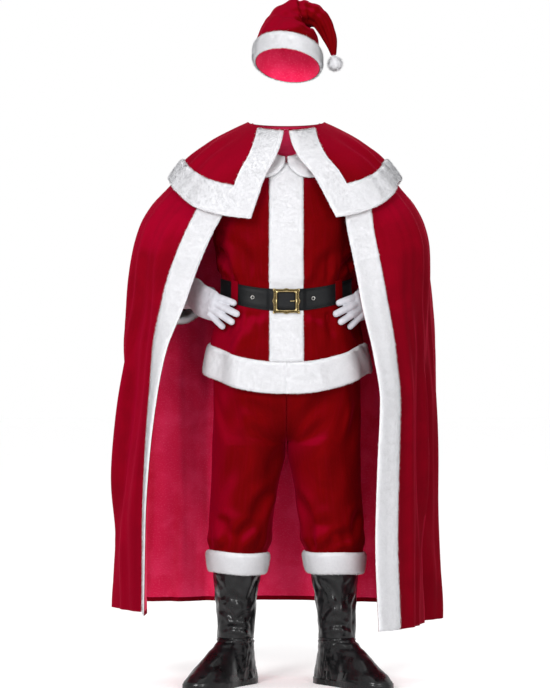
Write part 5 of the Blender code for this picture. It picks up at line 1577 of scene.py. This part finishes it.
def make_boot_covers():
    """Shaft and foot of each vinyl cover, with its creases, a sewn vamp and a bound lower edge."""
    round_foot = circle(96)
    for name, hand in SIDES:
        turn = round_foot + hand * FOOT_TURN[hand]
        from_toe = (round_foot + np.pi) % (2 * np.pi) - np.pi
        levels = even(56, SHAFT["level"][0] + LAID, SHAFT["level"][-1])
        centre_x, centre_y = (np.interp(levels, CALF_LEVELS, ends) for ends in zip(ANKLE, CALF))
        x = hand * centre_x[:, None] + read(SHAFT, "half_width", levels)[:, None] * np.sin(turn)
        y = centre_y[:, None] - read(SHAFT, "half_depth", levels)[:, None] * np.cos(turn)
        points = stacked(x, y, levels[:, None])
        out = ring_normals(points)
        arc, period = SHAFT_ARC * ((turn + np.pi) % (2 * np.pi) - np.pi), 2 * np.pi * SHAFT_ARC
        soft = 0.0012 * np.cos(5 * turn + 30 * levels[:, None]) * (1 - ramp(levels, 0.29, 0.31))[:, None]
        depth = creases(BOOT_CREASES[hand], arc[None, :], levels[:, None], period) + soft
        crumpled = 0.13 * facets(5 + hand, arc[None, :], levels[:, None], period, 0.034)
        depth = depth + crumpled - CRUMPLE_MEAN
        depth = depth * ramp(levels, 0.13, 0.142)[:, None] * (1 - ramp(levels, 0.292, 0.302))[:, None]
        points = points + depth[..., None] * out
        shaft = vinyl_tube(f"boot_shaft_{name}_vinyl", points)
        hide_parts(f"boot_shaft_{name}")
        foot = make_foot(name, hand, turn, from_toe)
        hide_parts(f"boot_foot_{name}")


def make_foot(name, hand, turn, from_toe):
    """The foot from the ankle to the floor: sections between the ankle's oval and the sole's outline,
    a seam that runs down from the ankle on each side, and a thicker binding over the last 16 mm."""
    low = SHAFT["level"][0]
    spoke = np.stack((np.sin(turn), -np.cos(turn)), -1)
    ankle = spoke * (read(SHAFT, "half_width", low), read(SHAFT, "half_depth", low))
    sole = sole_radius(from_toe)[:, None] * spoke
    down = np.concatenate((even(40, 0.0, 0.9), (0.905, 0.915, 0.93, 0.96, 0.985, 1.0)))
    flat = ankle[None] + read(FOOT, "out", down)[:, None, None] * (sole - ankle)[None]
    height = read(FOOT, "height", down)
    points = np.concatenate((flat, np.broadcast_to(height[:, None, None], (*flat.shape[:2], 1))), -1)
    points = points + np.array((hand * ANKLE[0], ANKLE[1], 0))
    out = ring_normals(points)
    seam_at = 1.05 + 0.95 * down[:, None]
    away = np.abs(np.abs(from_toe)[None, :] - seam_at)
    binding = ramp(down, 0.905, 0.915)[:, None]
    depth = -0.0016 * np.exp(-((away / 0.035) ** 2)) * (1 - binding)
    depth = depth + 0.001 * np.exp(-(((away - 0.09) / 0.05) ** 2)) * (1 - binding)
    at_ankle = np.exp(-((down / 0.38) ** 2))[:, None]
    wrinkles = 0.0013 * np.cos(46 * down[:, None] + 2.5 * np.cos(from_toe)[None, :]) * at_ankle
    loose = 0.0012 * np.cos(7 * from_toe + 2 * hand)[None, :] * ramp(down, 0.25, 0.75)[:, None]
    arc, way = 0.1 * from_toe[None, :], 0.2 * down[:, None]
    crumpled = 0.11 * facets(8 + hand, arc, way, 0.2 * np.pi, 0.04) - CRUMPLE_MEAN
    free = ramp(down, 0.0, 0.08)[:, None]
    depth = depth + (wrinkles + loose + crumpled) * free * (1 - binding) + 0.0012 * binding
    points = points + depth[..., None] * out
    points[..., 2] = np.maximum(points[..., 2], 0.0)
    points[-1, :, 2] = 0.0
    foot = vinyl_tube(f"boot_foot_{name}_vinyl", points)
    return foot


def jacket_depth(x, z):
    """The y of the jacket's front at a height, found on a fine grid of its points."""
    angle, level = np.meshgrid(np.linspace(0, np.pi / 2, 90), np.linspace(z - 0.06, z + 0.01, 60))
    points = torso(angle, level).reshape(-1, 3)
    return points[np.argmin((points[:, 0] - x) ** 2 + (points[:, 2] - z) ** 2), 1]


def tube(path, wide_by, thin_by, thin_way, steps=14, segments=20):
    """Rings round a smooth curve through the path's points, wider across it than through it, with its
    last end rounded off (the radius follows a quarter circle there)."""
    path = np.array(path, float)
    knots = np.arange(len(path), dtype=float)
    way = np.linspace(0, knots[-1], steps * (len(path) - 1) + 1)
    centre = np.stack([smooth(way, knots, path[:, k]) for k in range(3)], -1)
    wide, thin = smooth(way, knots, np.array(wide_by, float)), smooth(way, knots, np.array(thin_by, float))
    tangent = unit(np.gradient(centre, axis=0))
    thin_way = np.array(thin_way, float)
    through = unit(thin_way - (tangent @ thin_way)[:, None] * tangent)
    across = np.cross(tangent, through)
    run = way_along(centre)
    cap = np.sqrt(1 - (1 - np.clip((run[-1] - run) / thin[-1], 0.02, 1)) ** 2)
    turn = circle(segments)
    return (
        centre[:, None]
        + (cap * wide)[:, None, None] * np.cos(turn)[None, :, None] * across[:, None]
        + (cap * thin)[:, None, None] * np.sin(turn)[None, :, None] * through[:, None]
    )


def tube_mesh(rings):
    """Points and faces of rings with both ends closed by a fan of triangles round a middle point."""
    rows, columns = rings.shape[:2]
    points = np.concatenate((rings.reshape(-1, 3), rings[0].mean(0)[None], rings[-1].mean(0)[None]))
    number = np.arange(rows * columns).reshape(rows, columns)
    none = np.full(columns, -1)
    first = np.stack((np.roll(number[0], -1), number[0], np.full(columns, rows * columns), none), -1)
    last = np.stack((number[-1], np.roll(number[-1], -1), np.full(columns, rows * columns + 1), none), -1)
    return points, np.concatenate((quads(rows, columns, True), first, last))


def hand_tubes(hand):
    """A relaxed hand's palm, thumb and four bent fingers, on the same route as the frame's."""
    end, wrist, knuckles = np.array(GLOVE_END), np.array(WRIST), np.array(KNUCKLES)
    middle = (wrist + knuckles) / 2 + np.array((0.008, -0.004, 0.0))
    beyond = knuckles + 0.012 * (knuckles - wrist) / np.linalg.norm(knuckles - wrist)
    base, bend, tip = (np.array(p) for p in THUMB)
    ball = (wrist, (base + middle) / 2, (bend + knuckles) / 2 + np.array((0.004, 0.0, 0.01)))
    thumb = (base, bend, tip + 0.01 * (tip - bend) / np.linalg.norm(tip - bend))
    palm_wide, palm_thin = (0.036, 0.0425, 0.045, 0.041, 0.036), (0.03, 0.0205, 0.014, 0.013, 0.011)
    tubes = [
        tube((end, wrist, middle, knuckles, beyond), palm_wide, palm_thin, PALM_NORMAL, segments=32),
        tube(ball, (0.026, 0.0265, 0.02), (0.019, 0.015, 0.0105), PALM_NORMAL),
        tube(thumb, (0.0145, 0.0125, 0.01), (0.0135, 0.0115, 0.0095), (1, 0.2, 0)),
    ]
    for x, y, z, tip_x, tip_z, radius in zip(*FINGERS.values()):
        tip_y = jacket_depth(tip_x, tip_z) - radius - FINGER_CLEAR
        base, tip = np.array((x, y, z)), np.array((tip_x, tip_y, tip_z))
        along = (tip - base) / np.linalg.norm(tip - base)
        bend = (base + tip) / 2 - np.array((0, 0.0035, 0))
        wide, thin = radius * np.array((0.98, 0.97, 0.9)), radius * np.array((0.95, 0.93, 0.86))
        tubes.append(tube((base - 0.014 * along, bend, tip), wide, thin, (0.5, -0.85, 0.1)))
    return [rings * np.array((hand, 1, 1)) for rings in tubes]


def apply_modifiers(thing):
    """Puts the mesh that the modifiers give in place of the object's own."""
    graph = bpy.context.evaluated_depsgraph_get()
    mesh = bpy.data.meshes.new_from_object(thing.evaluated_get(graph), depsgraph=graph)
    thing.modifiers.clear()
    old, thing.data = thing.data, mesh
    bpy.data.meshes.remove(old)


def make_gloves():
    """Each glove: tubes for palm, thumb and fingers fused by a fine voxel mesh and smoothed, then
    hollowed from its wrist."""
    for name, hand in SIDES:
        points, faces, first = [], [], 0
        for rings in hand_tubes(hand):
            p, f = tube_mesh(rings)
            points.append(p)
            faces.append(np.where(f < 0, -1, f + first))
            first += len(p)
        points, faces = np.concatenate(points), np.concatenate(faces)
        glove = make_mesh(f"glove_{name}_jersey", points, faces, (cotton_finish(),))
        fused = glove.modifiers.new("fused", "REMESH")
        fused.mode, fused.voxel_size = "VOXEL", GLOVE_VOXEL
        eased = glove.modifiers.new("eased", "SMOOTH")
        eased.factor, eased.iterations = 0.5, 4
        apply_modifiers(glove)
        tool = hollow_tool(name, hand)
        cut = glove.modifiers.new("hollow", "BOOLEAN")
        cut.operation, cut.solver, cut.object = "DIFFERENCE", "EXACT", tool
        apply_modifiers(glove)
        bpy.data.objects.remove(tool, do_unlink=True)
        glove.data.shade_smooth()
        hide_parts(f"glove_{name}")


def hollow_tool(name, hand):
    """A plug that opens the glove from past its wrist end to the palm."""
    end, wrist, knuckles = np.array(GLOVE_END), np.array(WRIST), np.array(KNUCKLES)
    past = end + 0.02 * (end - wrist) / np.linalg.norm(end - wrist)
    stop = wrist + 0.3 * (knuckles - wrist) + np.array((0.003, -0.002, 0.0))
    wide, thin = (0.034, 0.0335, 0.0365, 0.03), (0.028, 0.0275, 0.0175, 0.011)
    rings = tube((past, end, wrist, stop), wide, thin, PALM_NORMAL, segments=28)
    points, faces = tube_mesh(rings * np.array((hand, 1, 1)))
    points = points - (0, 0, NECK_HEIGHT)
    mesh = bpy.data.meshes.new(f"hollow_{name}")
    mesh.from_pydata(points.tolist(), [], [[int(k) for k in f if k >= 0] for f in faces])
    work = bmesh.new()
    work.from_mesh(mesh)
    bmesh.ops.recalc_face_normals(work, faces=work.faces)
    work.to_mesh(mesh)
    work.free()
    tool = bpy.data.objects.new(f"hollow_{name}", mesh)
    bpy.context.scene.collection.objects.link(tool)
    return tool


def make_hat():
    """Crown with its tail bent over, a fur band on its edge and a pompom at the tip."""
    last = len(HAT["x"]) - 1
    way = np.concatenate((even(8, 0, 1)[:-1], even(84, 1, last)))
    segments = 80
    rings = hat_rings(way, segments)
    turn = circle(segments)
    out = ring_normals(rings)
    bend = np.exp(-(((way - 4.3) / 1.3) ** 2))[:, None]
    sag = 0.0032 * bend * np.cos(9 * way[:, None] + 1.2 * np.sin(turn)[None, :])
    ripple = 0.0018 * (np.cos(6 * turn + 1.0) + 0.6 * np.cos(11 * turn + 2 * way[:, None]))
    ripple = ripple * ramp(way, 1.2, 1.8)[:, None] * (1 - ramp(way, last - 2.2, last - 0.5))[:, None]
    rings = rings + (sag + ripple)[..., None] * out
    out = ring_normals(rings)
    crown = cloth("hat_crown_cloth", rings, out, ring=True)
    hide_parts("hat_crown")

    band_way = rounded(22, 0.0, 1.0)
    base = hat_rings(band_way, 120)
    band = fur("hat_band_fur", base, ring_normals(base), ring=True, rounding=(1, 1), pile=HAT_PILE)
    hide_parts("hat_band")
    pompom = make_pompom()
    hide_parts("hat_pompom")


def make_pompom():
    """A ball of pile: a sphere in latitude rings with strands that lean every way."""
    low, high = (np.array(v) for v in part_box("hat_pompom"))
    centre = (low + high) / 2 + (0, 0, NECK_HEIGHT)
    painted_light_slope = np.linspace(0.02, np.pi - 0.02, 26)[:, None]
    turn = circle(40)
    wide = np.sin(painted_light_slope)
    away = stacked(wide * np.cos(turn), wide * np.sin(turn), np.cos(painted_light_slope))
    rings = centre + POMPOM_RADIUS * (1 + 0.05 * tufts(away * 0.02)[..., None]) * away
    points, faces = tube_mesh(rings)
    skin, _ = tube_mesh(away)
    hair = strands(7, rings, away, np.ones(rings.shape[:2]), (0, 0, 0), True, POMPOM_PILE)
    return plush("hat_pompom_fur", points, faces, skin, *hair)


FLOOR_SIZE, FLOOR_LEVEL = 120.0, -NECK_HEIGHT - 0.001
LAMP_TARGET = (0, 0, -0.6)
CAMERA_PLACE, CAMERA_TARGET = (-0.03, -7.0, 0.8 - NECK_HEIGHT), (-0.03, 0.0, 0.918 - NECK_HEIGHT)
LENS, SENSOR = 135.7, 36.0  # millimetres


def make_stage():
    """A pale floor, soft light from both sides and above, and the camera."""
    scene = bpy.context.scene
    side = FLOOR_SIZE / 2
    mesh = bpy.data.meshes.new("floor")
    corners = ((-side, -side), (side, -side), (side, side), (-side, side))
    mesh.from_pydata([(x, y, FLOOR_LEVEL) for x, y in corners], [], [(0, 1, 2, 3)])
    floor = bpy.data.objects.new("floor", mesh)
    scene.collection.objects.link(floor)
    mesh.materials.append(new_material("matt_white_floor", base_color=(1.0, 1.0, 1.0), roughness=0.9)[0])

    world = bpy.data.worlds.new("studio")
    world.use_nodes = True
    shade = world.node_tree.nodes["Background"].inputs
    shade["Color"].default_value, shade["Strength"].default_value = (1, 1, 1, 1), 1.0
    scene.world = world
    lamps = table(
        "x y z size power",
        (-2.0, -5.2, 1.4, 1.6, 230),
        (1.8, -5.2, 0.2, 1.6, 110),
        (0.0, -1.0, 3.2, 2.0, 12),
        (1.5, 3.0, 1.5, 2.0, 10),
    )
    for k, (x, y, z, size, power) in enumerate(zip(*lamps.values())):
        light = bpy.data.lights.new(f"softbox_{k}", "AREA")
        light.energy, light.size = float(power), float(size)
        lamp = bpy.data.objects.new(f"softbox_{k}", light)
        lamp.location = (x, y, z)
        lamp.rotation_euler = look_along(np.array(LAMP_TARGET) - np.array((x, y, z)))
        scene.collection.objects.link(lamp)

    camera = bpy.data.objects.new("camera", bpy.data.cameras.new("camera"))
    camera.data.lens, camera.data.sensor_width = LENS, SENSOR
    camera.data.clip_end = 100
    camera.location = CAMERA_PLACE
    camera.rotation_euler = look_along(np.array(CAMERA_TARGET) - np.array(CAMERA_PLACE))
    scene.collection.objects.link(camera)
    scene.camera = camera
    scene.view_settings.view_transform = "Standard"


def look_along(way):
    """Turns for a lamp or camera that looks along a direction, its top up."""
    x, y, z = way / np.linalg.norm(way)
    return (np.arctan2(np.hypot(x, y), -z), 0.0, np.arctan2(-x, y))


# ---- operators, panel, registration ----
class SUIT_OT_stage(bpy.types.Operator):
    """Set up the floor, lights and camera"""

    bl_idname = "suit.stage"
    bl_label = "Stage"

    def execute(self, context):
        make_stage()
        return {"FINISHED"}


class SUIT_OT_hat(bpy.types.Operator):
    """Build the hat with its fur band and pompom"""

    bl_idname = "suit.hat"
    bl_label = "Hat"

    def execute(self, context):
        make_hat()
        return {"FINISHED"}


class SUIT_OT_jacket(bpy.types.Operator):
    """Build the jacket's panels, sleeves, collar and fur"""

    bl_idname = "suit.jacket"
    bl_label = "Jacket"

    def execute(self, context):
        make_jacket()
        return {"FINISHED"}


class SUIT_OT_belt(bpy.types.Operator):
    """Build the belt and its cast buckle"""

    bl_idname = "suit.belt"
    bl_label = "Belt"

    def execute(self, context):
        make_belt()
        return {"FINISHED"}


class SUIT_OT_trousers(bpy.types.Operator):
    """Build the trousers and their fur cuffs"""

    bl_idname = "suit.trousers"
    bl_label = "Trousers"

    def execute(self, context):
        make_trousers()
        return {"FINISHED"}


class SUIT_OT_cape(bpy.types.Operator):
    """Build the cape and its fur bands"""

    bl_idname = "suit.cape"
    bl_label = "Cape"

    def execute(self, context):
        make_cape()
        return {"FINISHED"}


class SUIT_OT_capelet(bpy.types.Operator):
    """Build the capelet and its fur bands"""

    bl_idname = "suit.capelet"
    bl_label = "Capelet"

    def execute(self, context):
        make_capelet()
        return {"FINISHED"}


class SUIT_OT_gloves(bpy.types.Operator):
    """Build the gloves"""

    bl_idname = "suit.gloves"
    bl_label = "Gloves"

    def execute(self, context):
        make_gloves()
        return {"FINISHED"}


class SUIT_OT_boot_covers(bpy.types.Operator):
    """Build the vinyl boot covers"""

    bl_idname = "suit.boot_covers"
    bl_label = "Boot covers"

    def execute(self, context):
        make_boot_covers()
        return {"FINISHED"}


STEPS = (
    SUIT_OT_stage,
    SUIT_OT_hat,
    SUIT_OT_jacket,
    SUIT_OT_belt,
    SUIT_OT_trousers,
    SUIT_OT_cape,
    SUIT_OT_capelet,
    SUIT_OT_gloves,
    SUIT_OT_boot_covers,
)


class SUIT_PT_panel(bpy.types.Panel):
    """The suit's sizes, colours and build steps"""

    bl_idname = "SUIT_PT_panel"
    bl_label = "Velour suit"
    bl_space_type = "VIEW_3D"
    bl_region_type = "UI"
    bl_category = "Suit"

    def draw(self, context):
        for group in (context.scene.suit_sizes, context.scene.suit_colours):
            for name in group.__annotations__:
                self.layout.prop(group, name)
        for step in STEPS:
            self.layout.operator(step.bl_idname)


CLASSES = (SuitSizes, SuitColours, *STEPS, SUIT_PT_panel)


def register():
    """Adds the classes and the scene's settings."""
    for kind in CLASSES:
        bpy.utils.register_class(kind)
    bpy.types.Scene.suit_sizes = bpy.props.PointerProperty(type=SuitSizes)
    bpy.types.Scene.suit_colours = bpy.props.PointerProperty(type=SuitColours)


def unregister():
    """Takes them away again."""
    del bpy.types.Scene.suit_colours, bpy.types.Scene.suit_sizes
    for kind in reversed(CLASSES):
        bpy.utils.unregister_class(kind)


def main():
    register()
    bpy.ops.suit.stage()
    bpy.ops.suit.hat()
    bpy.ops.suit.jacket()
    bpy.ops.suit.belt()
    bpy.ops.suit.trousers()
    bpy.ops.suit.cape()
    bpy.ops.suit.capelet()
    bpy.ops.suit.gloves()
    bpy.ops.suit.boot_covers()


if __name__ == "__main__":
    main()
